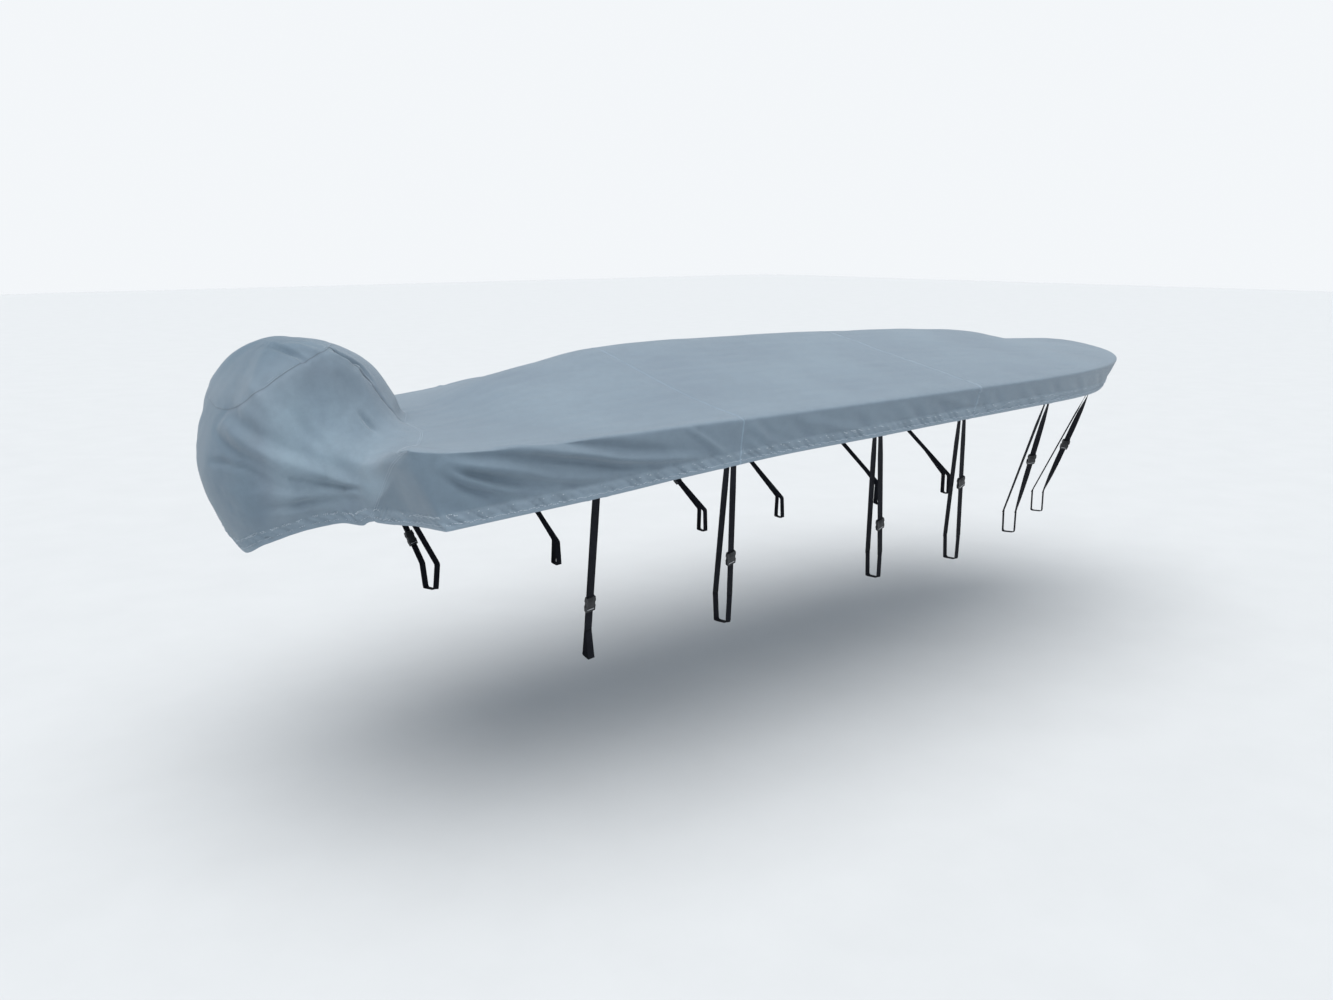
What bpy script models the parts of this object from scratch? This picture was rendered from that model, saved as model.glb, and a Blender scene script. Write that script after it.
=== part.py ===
"""Fitted cover for a 14-foot V-hull fishing boat, with a hood sewn in for the outboard motor.

Metres, +Z up.  +X is the bow and +Y is port.  The origin is on the centreline, midway along
the gunwale, just under the cloth where it lies on the ridge support of the boat.
The cloth is one draped surface, worked out as sections and rays and then cut into its panels.
"""
import math
from collections import namedtuple

import bmesh
import bpy
from mathutils import Matrix, Quaternion, Vector
from mathutils.bvhtree import BVHTree

# ---------------------------------------------------------------- driving dimensions
OBJECT_NAME = "boat_cover"

CLOTH = 0.0016                # thickness of the coated cloth
SEAM_GAP = 0.0003             # clearance between two sewn panels

STERN_X = -2.205              # aft corner of the gunwale
BOW_X = 2.19                  # tip of the bow
SEAM_1_X = -1.078             # seam between the aft and the middle panel
SEAM_2_X = 0.14               # seam between the middle and the bow panel

BOW_FULLNESS = 7.8            # how far forward the sides stay parallel
BOW_ROUND = 1.0               # above 1 rounds the tip of the bow
CORNER_LENGTH = 0.16          # length of the rounding of each stern corner
CORNER_INSET = 0.040          # how far that rounding draws the corner inboard

RIDGE_RADIUS = 0.05           # softness of the ridge along the middle
STEM_RAKE = 0.13              # the stem's hem lies this far aft of the tip

APEX = (-2.265, 0.0, 0.096)   # top of the motor hood

HEM_BAND = 0.045              # height of the stitched hem
ROPE_CHANNEL = 0.016          # height of the rope's channel at the bottom of the hem
ROPE_BULGE = 0.0035           # how far the rope stands out

WEBBING = 0.0254              # width of the tie-down straps
WEBBING_THICKNESS = 0.0015
STRAP_OVERLAP = 0.032         # how far each strap end reaches up behind the hem
STRAP_CLEARANCE = 0.0004      # between a strap end and the cloth it is sewn to
STRAP_LAYER = 0.0045          # how far behind its twin a stacked leg lies at the hem
RAIL_WIDTH = 0.052            # the space each strap's loop leaves for the rail
RAIL_HEIGHT = 0.100
RAIL_ROUND = 0.009

BUCKLE_LENGTH = 0.058
BUCKLE_DEPTH = 0.0125
BUCKLE_SLOT = (0.0262, 0.0023)

# Gunwale: half breadth before the bow closes, height, and how much lower the port side sags.
GunwaleRow = namedtuple("GunwaleRow", "x half height sag")
GUNWALE = [
    GunwaleRow(-2.205, 0.695, -0.186, 0.000),
    GunwaleRow(-1.90, 0.716, -0.183, 0.026),
    GunwaleRow(-1.50, 0.753, -0.176, 0.036),
    GunwaleRow(-1.30, 0.770, -0.171, 0.024),
    GunwaleRow(-1.095, 0.786, -0.168, 0.004),
    GunwaleRow(-0.60, 0.810, -0.164, 0.000),
    GunwaleRow(0.00, 0.822, -0.162, 0.000),
    GunwaleRow(0.60, 0.824, -0.163, 0.000),
    GunwaleRow(2.19, 0.824, -0.165, 0.000),
]

# Ridge of the deck: height above the gunwale, and how hollow the cloth hangs at its side.
DeckRow = namedtuple("DeckRow", "x ridge hollow")
DECK = [
    DeckRow(-2.205, 0.030, 1.00),
    DeckRow(-1.85, 0.035, 1.00),
    DeckRow(-1.75, 0.046, 1.15),
    DeckRow(-1.66, 0.076, 1.35),
    DeckRow(-1.60, 0.100, 1.40),
    DeckRow(-1.56, 0.114, 1.40),
    DeckRow(-1.45, 0.132, 1.35),
    DeckRow(-1.27, 0.149, 1.30),
    DeckRow(-1.09, 0.168, 1.30),
    DeckRow(-0.85, 0.173, 1.25),
    DeckRow(-0.39, 0.170, 1.15),
    DeckRow(0.14, 0.1615, 1.02),
    DeckRow(0.61, 0.150, 1.00),
    DeckRow(0.89, 0.136, 1.00),
    DeckRow(1.18, 0.116, 1.00),
    DeckRow(1.28, 0.098, 1.00),
    DeckRow(1.39, 0.069, 0.95),
    DeckRow(1.67, 0.052, 0.85),
    DeckRow(1.86, 0.046, 0.80),
    DeckRow(2.05, 0.026, 0.80),
    DeckRow(2.19, 0.000, 0.80),
]

# Skirt below the gunwale: how deep it hangs and what share of the breadth its hem is drawn in.
SkirtRow = namedtuple("SkirtRow", "x depth tuck")
SKIRT = [
    SkirtRow(-2.205, 0.212, 0.010),
    SkirtRow(-1.93, 0.199, 0.015),
    SkirtRow(-1.60, 0.184, 0.020),
    SkirtRow(-1.27, 0.165, 0.026),
    SkirtRow(-0.82, 0.143, 0.030),
    SkirtRow(-0.45, 0.136, 0.034),
    SkirtRow(0.06, 0.125, 0.038),
    SkirtRow(0.60, 0.120, 0.045),
    SkirtRow(1.20, 0.128, 0.070),
    SkirtRow(1.70, 0.140, 0.120),
    SkirtRow(2.19, 0.165, 0.200),
]

# Rays from the top of the hood outward and down, on the starboard side from the bow round
# to the stern: the edge of the hood's cap, its fullest part, its lower wall and the seam or
# hem where it ends.  y is outboard.  A z of None lies on the deck.
RayRow = namedtuple("RayRow", "cap belly low seam")
RAYS = [
    RayRow((-2.100, 0.000, 0.076), (-1.965, 0.000, 0.000), (-1.897, 0.000, -0.095),
           (-1.855, 0.000, None)),
    RayRow((-2.165, 0.145, 0.070), (-2.045, 0.160, -0.035), (-1.988, 0.168, -0.118),
           (-1.937, 0.170, None)),
    RayRow((-2.225, 0.188, 0.056), (-2.110, 0.216, -0.090), (-2.055, 0.245, -0.160),
           (-1.958, 0.310, None)),
    RayRow((-2.280, 0.200, 0.036), (-2.180, 0.236, -0.140), (-2.120, 0.290, -0.210),
           (-2.062, 0.480, None)),
    RayRow((-2.320, 0.200, 0.016), (-2.230, 0.240, -0.180), (-2.175, 0.315, -0.255),
           (-2.205, 0.655, -0.163)),
    RayRow((-2.350, 0.197, -0.002), (-2.262, 0.243, -0.208), (-2.190, 0.295, -0.310),
           (-2.170, 0.500, -0.266)),
    RayRow((-2.375, 0.192, -0.020), (-2.290, 0.243, -0.230), (-2.214, 0.272, -0.360),
           (-2.150, 0.335, -0.426)),
    RayRow((-2.400, 0.180, -0.038), (-2.335, 0.238, -0.245), (-2.268, 0.250, -0.365),
           (-2.208, 0.240, -0.436)),
    RayRow((-2.420, 0.160, -0.056), (-2.405, 0.214, -0.260), (-2.362, 0.226, -0.385),
           (-2.320, 0.208, -0.453)),
    RayRow((-2.438, 0.108, -0.084), (-2.474, 0.145, -0.268), (-2.434, 0.150, -0.420),
           (-2.396, 0.140, -0.490)),
    RayRow((-2.450, 0.000, -0.100), (-2.506, 0.000, -0.270), (-2.454, 0.000, -0.440),
           (-2.408, 0.000, -0.537)),
]
GUSSET_RAY = 1                # seam between the hood's front gusset and its side
CORNER_RAY = 4                # ray to the stern corner
TAUT_CORNER = 0.8             # how straight the cloth runs from the hood to that corner
TAUT_SPAN = 2.0               # rays over which it is so
HEM_RAY = 6                   # from here on the hood ends in its own hem
AFT_RAY = 10                  # middle of the hood's back
SEAM_1_RAY = 1.5              # ray to the end of seam 1 at the gunwale

# Hem below the stern edge, from the corner to the hood.
STERN_HEM = {4: (-2.112, 0.700, -0.392), 5: (-2.108, 0.520, -0.408), 6: (-2.150, 0.335, -0.426)}

# Folds: a line of points on the cloth, half width, and height out of the cloth.
Fold = namedtuple("Fold", "points width height")
FOLDS = [
    Fold([(-1.95, -0.709, -0.195), (-1.87, -0.717, -0.208), (-1.73, -0.727, -0.232),
          (-1.58, -0.739, -0.262), (-1.42, -0.748, -0.292), (-1.27, -0.755, -0.311)],
         0.022, -0.012),
    Fold([(-1.90, -0.714, -0.224), (-1.76, -0.724, -0.249), (-1.60, -0.735, -0.279),
          (-1.43, -0.744, -0.314)], 0.020, 0.009),
    Fold([(-2.13, -0.680, -0.213), (-2.02, -0.701, -0.241), (-1.88, -0.713, -0.272),
          (-1.70, -0.725, -0.319)], 0.020, -0.011),
    Fold([(-2.08, -0.692, -0.249), (-1.96, -0.706, -0.285), (-1.84, -0.714, -0.314)],
         0.018, 0.008),
    Fold([(-2.11, -0.687, -0.233), (-2.00, -0.702, -0.282), (-1.88, -0.711, -0.323)],
         0.016, -0.007),
    Fold([(-1.64, -0.740, -0.182), (-1.48, -0.751, -0.214), (-1.32, -0.760, -0.243),
          (-1.15, -0.768, -0.274)], 0.024, -0.010),
    Fold([(-1.34, -0.767, -0.170), (-1.24, -0.767, -0.232), (-1.14, -0.766, -0.290)],
         0.018, 0.008),
    Fold([(-1.04, -0.789, -0.168), (-0.96, -0.785, -0.226), (-0.88, -0.779, -0.282)],
         0.018, 0.007),
    Fold([(-1.07, -0.780, -0.215), (-0.95, -0.777, -0.282)], 0.014, 0.006),
    Fold([(-2.288, -0.154, 0.064), (-2.253, -0.191, 0.050), (-2.199, -0.215, -0.015),
          (-2.146, -0.214, -0.064), (-2.110, -0.222, -0.100)], 0.028, -0.010),
    Fold([(-2.455, -0.130, -0.140), (-2.443, -0.175, -0.163), (-2.411, -0.208, -0.190),
          (-2.362, -0.230, -0.227), (-2.280, -0.248, -0.269), (-2.202, -0.282, -0.306),
          (-2.181, -0.327, -0.317)], 0.026, 0.014),
    Fold([(-2.483, -0.119, -0.255), (-2.443, -0.186, -0.269), (-2.381, -0.227, -0.286),
          (-2.311, -0.245, -0.307), (-2.240, -0.259, -0.328)], 0.022, -0.009),
    Fold([(-2.321, -0.243, -0.290), (-2.238, -0.258, -0.308), (-2.178, -0.340, -0.315)],
         0.012, -0.006),
    Fold([(-2.324, -0.240, -0.365), (-2.241, -0.260, -0.352), (-2.184, -0.319, -0.333)],
         0.012, -0.006),
]
FOLD_FADE = 0.05              # the folds of either side end this near the centre line

# Straps: where each leaves the hem, where it passes the rail's outer top edge (y is outboard),
# the rail's heading toward the bow and how far down the forward leg the buckle sits; then
# half the distance of the two legs at the hem and at the rail, where no distance stacks them,
# and how far the forward leg is twisted between its ends, in degrees.
StrapRow = namedtuple("StrapRow",
                      "x_hem x_low y_low z_low heading buckle spread low_spread twist")
STRAPS = [
    StrapRow(-1.622, -1.500, 0.535, -0.842, 0.0, 0.80, 0.0, -0.018, 0.0),
    StrapRow(-1.114, -0.905, 0.535, -0.848, 0.0, 0.70, 0.0132, 0.010, 0.0),
    StrapRow(-0.418, -0.080, 0.535, -0.835, 0.0, 0.74, 0.0132, 0.006, 0.0),
    StrapRow(0.074, 0.430, 0.535, -0.848, 0.0, 0.52, 0.0132, 0.010, 0.0),
    StrapRow(0.705, 1.040, 0.416, -0.850, 16.0, 0.50, 0.0138, 0.008, 40.0),
    StrapRow(1.170, 1.450, 0.300, -0.830, 16.0, 0.50, 0.0138, 0.002, 58.0),
]

# Outline of a buckle: distance along it and half width.
BuckleRow = namedtuple("BuckleRow", "along half")
BUCKLE = [
    BuckleRow(-0.029, 0.0160),
    BuckleRow(-0.012, 0.0185),
    BuckleRow(-0.007, 0.0160),
    BuckleRow(0.003, 0.0160),
    BuckleRow(0.008, 0.0185),
    BuckleRow(0.029, 0.0165),
]

# ---------------------------------------------------------------- how finely the cloth is cut
RAY_STEPS = [(0, 1.5, 8), (1.5, 4, 16), (4, 6, 5), (6, 10, 11)]
RING_STEPS = (4, 5, 3, 3)     # top to cap edge, to belly, to low, to seam
DECK_STEPS = 6                # hood seam to gunwale
SKIRT_STEPS = 5               # gunwale to hem band; the band adds three more
LEG_STEPS = 6
MIDDLE_ROWS = 8
BOW_ROWS = 15
HALF_COLUMNS = 8              # half the breadth of the deck

AFT, MIDDLE, BOW, CAP, FRONT, SIDE_STARBOARD, SIDE_PORT = range(7)
PANEL_NAMES = {
    AFT: "aft_panel",
    MIDDLE: "middle_panel",
    BOW: "bow_panel",
    CAP: "hood_cap",
    FRONT: "hood_front",
    SIDE_STARBOARD: "hood_side_starboard",
    SIDE_PORT: "hood_side_port",
}


# ---------------------------------------------------------------- small mathematics
def smooth(rows, column, x):
    """A smooth curve without overshoot through one column of a table, at x."""
    xs = [row.x for row in rows]
    ys = [getattr(row, column) for row in rows]
    if x <= xs[0]:
        return ys[0]
    if x >= xs[-1]:
        return ys[-1]
    slopes = [(ys[i + 1] - ys[i]) / (xs[i + 1] - xs[i]) for i in range(len(xs) - 1)]
    i = max(k for k in range(len(xs) - 1) if xs[k] <= x)

    def tangent(k):
        if k == 0 or k == len(xs) - 1:
            return slopes[0] if k == 0 else slopes[-1]
        before, after = slopes[k - 1], slopes[k]
        if before * after <= 0:
            return 0.0
        return 2 * before * after / (before + after)

    step = xs[i + 1] - xs[i]
    t = (x - xs[i]) / step
    return ((2 * t ** 3 - 3 * t ** 2 + 1) * ys[i] + (t ** 3 - 2 * t ** 2 + t) * step * tangent(i)
            + (3 * t ** 2 - 2 * t ** 3) * ys[i + 1] + (t ** 3 - t ** 2) * step * tangent(i + 1))


def catmull(p0, p1, p2, p3, t):
    """A point between p1 and p2 on a smooth curve through four points."""
    return (p1 * 2 + (p2 - p0) * t + (p0 * 2 - p1 * 5 + p2 * 4 - p3) * t ** 2
            + (p1 * 3 - p0 - p2 * 3 + p3) * t ** 3) * 0.5


def lerp(a, b, t):
    return a + (b - a) * t


def flow(points, start, end):
    """Tangents of a smooth curve through points, with its two end directions given."""
    spans = [(b - a) for a, b in zip(points, points[1:])]
    tangents = [start]
    for before, after in zip(spans, spans[1:]):
        first, second = before.normalized(), after.normalized()
        tangents.append((first * after.length + second * before.length)
                        / (before.length + after.length))
    tangents.append(end)
    return tangents


def hermite(a, b, leaving, arriving, t):
    """A point between a and b on a curve with these directions at its ends."""
    size = (b - a).length
    return (a * (2 * t ** 3 - 3 * t ** 2 + 1) + leaving * size * (t ** 3 - 2 * t ** 2 + t)
            + b * (3 * t ** 2 - 2 * t ** 3) + arriving * size * (t ** 3 - t ** 2))


# ---------------------------------------------------------------- the draped form
def half_breadth(x):
    """Half breadth of the gunwale, with rounded stern corners and a V bow."""
    s = min(max((x - STERN_X) / (BOW_X - STERN_X), 0.0), 1.0)
    breadth = smooth(GUNWALE, "half", x) * (1 - s ** BOW_FULLNESS) ** (1 / BOW_ROUND)
    corner = max(0.0, 1 - (x - STERN_X) / CORNER_LENGTH)
    return breadth - CORNER_INSET * corner ** 2


def gunwale_height(x, side):
    """Height of the gunwale; side is -1 for starboard, 1 for port and 0 between them."""
    return smooth(GUNWALE, "height", x) - smooth(GUNWALE, "sag", x) * 0.5 * (side + 1)


def deck_height(x, y):
    """Height of the cloth between the gunwales, a soft tent over the ridge."""
    half = max(half_breadth(x), 0.001)
    reach = math.sqrt(half ** 2 + RIDGE_RADIUS ** 2) - RIDGE_RADIUS
    out = (math.sqrt(y ** 2 + RIDGE_RADIUS ** 2) - RIDGE_RADIUS) / reach
    rise = max(0.0, 1 - out) ** smooth(DECK, "hollow", x)
    across = max(-1.0, min(1.0, y / half))
    return gunwale_height(x, across) + smooth(DECK, "ridge", x) * rise


def skirt_rows(depth):
    """How far down the rows of a skirt lie, 0 to 1, and how far each stands out."""
    band = min(HEM_BAND, 0.4 * depth) / depth
    rope = min(ROPE_CHANNEL, 0.15 * depth) / depth
    bulge = ROPE_BULGE * min(1.0, depth / 0.1)
    rows = [(k / SKIRT_STEPS * (1 - band), 0.0) for k in range(SKIRT_STEPS + 1)]
    return rows + [(1 - rope, -0.2 * bulge), (1 - 0.45 * rope, bulge), (1.0, 0.0)]


def skirt_point(x, side, down):
    """A point on the skirt, from the gunwale (down 0) to the hem (down 1)."""
    s = (x - STERN_X) / (BOW_X - STERN_X)
    y = half_breadth(x) * (1 - smooth(SKIRT, "tuck", x) * down ** 1.2)
    rake = STEM_RAKE * down * s ** 10
    height = gunwale_height(x, side) - smooth(SKIRT, "depth", x) * down
    return Vector((x - rake, side * y, height))


def deck_point(x, y):
    return Vector((x, y, deck_height(x, y)))


def ray_key(index):
    """One row of the ray table, for any whole ray number round the hood; port is negative."""
    wrapped = index % (2 * AFT_RAY)
    port = wrapped > AFT_RAY
    row = RAYS[2 * AFT_RAY - wrapped if port else wrapped]
    side = 1 if port else -1
    points = []
    for x, y, z in row:
        points.append(Vector((x, side * y, deck_height(x, y) if z is None else z)))
    return points


def ray_points(q):
    """Cap edge, belly, low and seam points of the ray at q, between the table's rays."""
    base = math.floor(q)
    t = q - base
    rows = [ray_key(base + k) for k in (-1, 0, 1, 2)]
    return [catmull(rows[0][c], rows[1][c], rows[2][c], rows[3][c], t) for c in range(4)]


def gunwale_end(q):
    """Where the ray q leaves the deck: on seam 1, or on the gunwale."""
    side = -1 if q >= 0 else 1
    if abs(q) <= SEAM_1_RAY:
        y = side * half_breadth(SEAM_1_X) * abs(q) / SEAM_1_RAY
        return deck_point(SEAM_1_X, y)
    t = (abs(q) - SEAM_1_RAY) / (CORNER_RAY - SEAM_1_RAY)
    x = lerp(SEAM_1_X, STERN_X, t)
    peak = ray_key(round(-side * CORNER_RAY))[3]
    return skirt_point(x, side, 0.0).lerp(peak, max(0.0, (t - 0.7) / 0.3) ** 2)


def hood_ray(q):
    """The points of one ray from the top of the hood to its seam."""
    top = Vector(APEX)
    cap, belly, low, seam = ray_points(q)
    outward = Vector((cap.x - top.x, cap.y - top.y, 0.0)).normalized()
    last = (seam - low).normalized()
    if abs(q) < CORNER_RAY:
        along_deck = (gunwale_end(q) - seam).normalized()
        last = last.lerp(along_deck, 0.7 * min(1.0, CORNER_RAY - abs(q))).normalized()
    knots = [top, cap, belly, low, seam]
    ways = flow(knots, outward, last)
    near_corner = max(0.0, 1 - abs(abs(q) - CORNER_RAY) / TAUT_SPAN)
    points = [top]
    for span, steps in enumerate(RING_STEPS):
        leaving = ways[span]
        if span == len(RING_STEPS) - 1:
            leaving = leaving.lerp((seam - low).normalized(), TAUT_CORNER * near_corner)
        for k in range(1, steps + 1):
            points.append(hermite(knots[span], knots[span + 1], leaving, ways[span + 1],
                                  k / steps))
    return points


def deck_ray(q):
    """The points of one ray from the hood's seam to seam 1 or the gunwale."""
    start = ray_points(q)[3]
    end = gunwale_end(q)
    if abs(q) == CORNER_RAY:
        return [start] * (DECK_STEPS + 1)
    points = [start]
    lift = start.z - deck_height(start.x, start.y)
    rise = end.z - deck_height(end.x, end.y)
    for k in range(1, DECK_STEPS):
        t = k / DECK_STEPS
        x = lerp(start.x, end.x, t)
        y = lerp(start.y, end.y, t)
        points.append(Vector((x, y, deck_height(x, y) + lerp(lift, rise, t))))
    points.append(end)
    return points


def outward_at(x, side):
    """Level direction square to the gunwale at x."""
    slope = (half_breadth(x + 0.005) - half_breadth(x - 0.005)) / 0.01
    return Vector((-slope, side, 0.0)).normalized()


def skirt_column(top, foot, outward):
    """The rows of one skirt column between its top and its foot."""
    depth = max((foot - top).length, 0.001)
    return [top.lerp(foot, down) + outward * out for down, out in skirt_rows(depth)]


def stern_skirt_column(q):
    """From the stern edge down to the stern hem, between the corner and the hood."""
    side = -1 if q >= 0 else 1
    top = ray_points(q)[3]
    index = min(int(abs(q)), HEM_RAY - 1)
    t = abs(q) - index
    foot = Vector(STERN_HEM[index]).lerp(Vector(STERN_HEM[index + 1]), t)
    foot.y *= side
    if abs(q) == HEM_RAY:
        return [top] * (SKIRT_STEPS + 4)
    outward = Vector((-1.0, side * max(0.0, CORNER_RAY + 1 - abs(q)), 0.0)).normalized()
    return skirt_column(top, foot, outward)


def side_skirt_column(q):
    """From the gunwale of the aft panel down to its hem."""
    side = -1 if q >= 0 else 1
    t = (abs(q) - SEAM_1_RAY) / (CORNER_RAY - SEAM_1_RAY)
    corner = Vector(STERN_HEM[CORNER_RAY])
    foot = skirt_point(lerp(SEAM_1_X, corner.x, t), side, 1.0)
    corner.y *= side
    foot = foot.lerp(corner, t ** 6)
    outward = outward_at(lerp(SEAM_1_X, STERN_X, t), side)
    outward = outward.lerp(Vector((-1.0, side, 0.0)).normalized(), t ** 6)
    return skirt_column(gunwale_end(q), foot, outward)


def section(x):
    """The whole section at x, from the starboard hem over the ridge to the port hem."""
    half = half_breadth(x)
    foot = skirt_point(x, -1, 1.0)
    column = skirt_column(skirt_point(x, -1, 0.0), foot, outward_at(x, -1))
    if half < 0.001:
        column = [Vector((p.x, 0.0, p.z)) for p in column]
    starboard = column[:0:-1]
    deck = [deck_point(x, half * k / HALF_COLUMNS) for k in range(-HALF_COLUMNS, HALF_COLUMNS + 1)]
    drop = gunwale_height(x, 1) - gunwale_height(x, -1)
    port = [Vector((p.x, -p.y, p.z + drop)) for p in reversed(starboard)]
    return starboard + deck + port


# ---------------------------------------------------------------- the whole sheet
def steps_of(spans):
    """Ray numbers of the starboard side, from the bow round to the middle of the back."""
    values = [float(spans[0][0])]
    for start, end, count in spans:
        values += [start + (end - start) * k / count for k in range(1, count + 1)]
    return [round(v, 6) for v in values]


def add_grid(sheet, panel_of, lines, panel):
    """Add the faces between neighbouring lines of points, all of one panel."""
    layer = sheet.faces.layers.int["panel"]
    rows = [[sheet.verts.new(p) for p in line] for line in lines]
    for a, b in zip(rows, rows[1:]):
        for k in range(len(a) - 1):
            corners = [a[k], b[k], b[k + 1], a[k + 1]]
            unique = []
            for v in corners:
                if all((v.co - u.co).length > 1e-6 for u in unique):
                    unique.append(v)
            if len(unique) < 3:
                continue
            face = sheet.faces.new(unique)
            face[layer] = panel if panel_of is None else panel_of(k)


def stern_sheet(sheet, side):
    """Hood, aft deck, skirt and stern skirt of one side (-1 starboard, 1 port)."""
    values = [-side * v for v in steps_of(RAY_STEPS)]
    rings_in_cap = RING_STEPS[0]
    hood = [hood_ray(q) for q in values]
    if side == 1:
        hood.reverse()
    order = values if side == -1 else values[::-1]
    for a, b, qa, qb in zip(hood, hood[1:], order, order[1:]):
        front = max(abs(qa), abs(qb)) <= GUSSET_RAY
        flank = SIDE_STARBOARD if side == -1 else SIDE_PORT
        wall = FRONT if front else flank
        add_grid(sheet, lambda k, w=wall: CAP if k < rings_in_cap else w, [a, b], None)
    deck_values = [q for q in order if abs(q) <= CORNER_RAY]
    add_grid(sheet, None, [deck_ray(q) for q in deck_values], AFT)
    skirt_values = [q for q in order if SEAM_1_RAY <= abs(q) <= CORNER_RAY]
    add_grid(sheet, None, [side_skirt_column(q) for q in skirt_values], AFT)
    stern_values = [q for q in order if CORNER_RAY <= abs(q) <= HEM_RAY]
    add_grid(sheet, None, [stern_skirt_column(q) for q in stern_values], AFT)


def forward_sheet(sheet):
    """Middle and bow panels, section by section."""
    middle = [lerp(SEAM_1_X, SEAM_2_X, k / MIDDLE_ROWS) for k in range(MIDDLE_ROWS + 1)]
    bow = []
    for k in range(BOW_ROWS + 1):
        u = k / BOW_ROWS
        closing = 0.35 * u + 0.65 * math.sin(0.5 * math.pi * u)
        bow.append(lerp(SEAM_2_X, BOW_X, closing))
    for stations, panel in ((middle, MIDDLE), (bow, BOW)):
        lines = [section(x) for x in stations]
        lines.reverse()
        add_grid(sheet, None, lines, panel)


def nearest_on_line(point, line):
    """Distance from a point to a line of points, and how far along it lies, from 0 to 1."""
    best, along = 1e9, 0.0
    count = len(line) - 1
    for k in range(count):
        a, b = Vector(line[k]), Vector(line[k + 1])
        t = min(max((point - a).dot(b - a) / (b - a).length_squared, 0.0), 1.0)
        gap = (a.lerp(b, t) - point).length
        if gap < best:
            best, along = gap, (k + t) / count
    return best, along


def fold_height(point):
    """Sum of the folds at a point of the cloth; the port side has the same folds."""
    total = 0.0
    near_centre = min(abs(point.y) / FOLD_FADE, 1.0)
    seen = Vector((point.x, -abs(point.y), point.z))
    for fold in FOLDS:
        gap, along = nearest_on_line(seen, fold.points)
        if gap < 3 * fold.width:
            fade = math.sin(math.pi * min(max(along, 0.04), 0.96)) ** 0.5
            total += fold.height * fade * math.exp(-0.5 * (gap / fold.width) ** 2)
    return total * near_centre


def whole_sheet():
    """The cover's outer face as one surface, its faces marked with their panel."""
    sheet = bmesh.new()
    sheet.faces.layers.int.new("panel")
    for side in (-1, 1):
        stern_sheet(sheet, side)
    forward_sheet(sheet)
    bmesh.ops.remove_doubles(sheet, verts=sheet.verts, dist=0.00002)
    bmesh.ops.recalc_face_normals(sheet, faces=sheet.faces)
    sheet.normal_update()
    top = max(sheet.faces, key=lambda f: f.calc_center_median().z)
    if top.normal.z < 0:
        bmesh.ops.reverse_faces(sheet, faces=sheet.faces)
        sheet.normal_update()
    moves = [(v, v.normal * fold_height(v.co)) for v in sheet.verts]
    for v, move in moves:
        v.co += move
    sheet.normal_update()
    return sheet


# ---------------------------------------------------------------- materials and objects
def material(name, colour, roughness, metallic=0.0):
    made = bpy.data.materials.new(name)
    made.use_nodes = True
    shader = made.node_tree.nodes["Principled BSDF"]
    shader.inputs["Base Color"].default_value = (*colour, 1.0)
    shader.inputs["Roughness"].default_value = roughness
    shader.inputs["Metallic"].default_value = metallic
    return made


def new_object(name, mesh, finish, collection):
    made = bpy.data.objects.new(name, mesh)
    mesh.materials.append(finish)
    collection.objects.link(made)
    return made


def add_thickness(piece, thickness):
    shell = piece.modifiers.new("thickness", "SOLIDIFY")
    shell.thickness = thickness
    shell.offset = -1.0
    shell.use_even_offset = False


def cut_panel(sheet, panel, name, finish, collection):
    """One panel of the sheet as a thin solid, drawn back a little along its seams."""
    layer = sheet.faces.layers.int["panel"]
    piece = bmesh.new()
    twins = {}
    for face in sheet.faces:
        if face[layer] != panel:
            continue
        for v in face.verts:
            if v not in twins:
                twins[v] = piece.verts.new(v.co)
        piece.faces.new([twins[v] for v in face.verts])
    piece.normal_update()
    pulls = []
    for whole, own in twins.items():
        if all(f[layer] == panel for f in whole.link_faces):
            continue
        inward = Vector()
        for edge in own.link_edges:
            if not edge.is_boundary:
                continue
            loop = edge.link_loops[0]
            along = loop.link_loop_next.vert.co - loop.vert.co
            inward += loop.face.normal.cross(along).normalized()
        lean = own.normal.angle(whole.normal, 0.0)
        pulls.append((own, inward.normalized() * (SEAM_GAP + CLOTH * math.tan(lean))))
    for own, pull in pulls:
        own.co += pull
    mesh = bpy.data.meshes.new(name)
    piece.to_mesh(mesh)
    piece.free()
    mesh.shade_smooth()
    made = new_object(name, mesh, finish, collection)
    add_thickness(made, CLOTH)
    return made


# ---------------------------------------------------------------- straps and buckles
def hem_station(x, side):
    """Foot of the skirt at x, with the directions along the hem and outward."""
    foot = skirt_point(x, side, 1.0)
    ahead = skirt_point(x + 0.01, side, 1.0)
    along = Vector((ahead.x - foot.x, ahead.y - foot.y, 0.0)).normalized()
    outward = Vector((-side * along.y, side * along.x, 0.0))
    return foot, along, outward


def inner_faces(collection):
    """The finished panels, to lay the strap ends against."""
    ready = bpy.context.evaluated_depsgraph_get()
    names = [PANEL_NAMES[panel] for panel in (AFT, MIDDLE, BOW)]
    return [BVHTree.FromObject(collection.objects[name], ready) for name in names]


def room_behind(trees, point, along, outward):
    """How far outward a strap's width at the point can move until it meets the cloth."""
    reach = 1.0
    for k in range(-4, 5):
        for step in range(-10, 11):
            start = point + along * (WEBBING * 0.56 * k / 4) - outward * 0.08
            start.z += 0.001 * step
            for tree in trees:
                hit = tree.ray_cast(start, outward)
                if hit[0] is not None:
                    reach = min(reach, (hit[0] - start).length - 0.08)
    return reach


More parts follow.
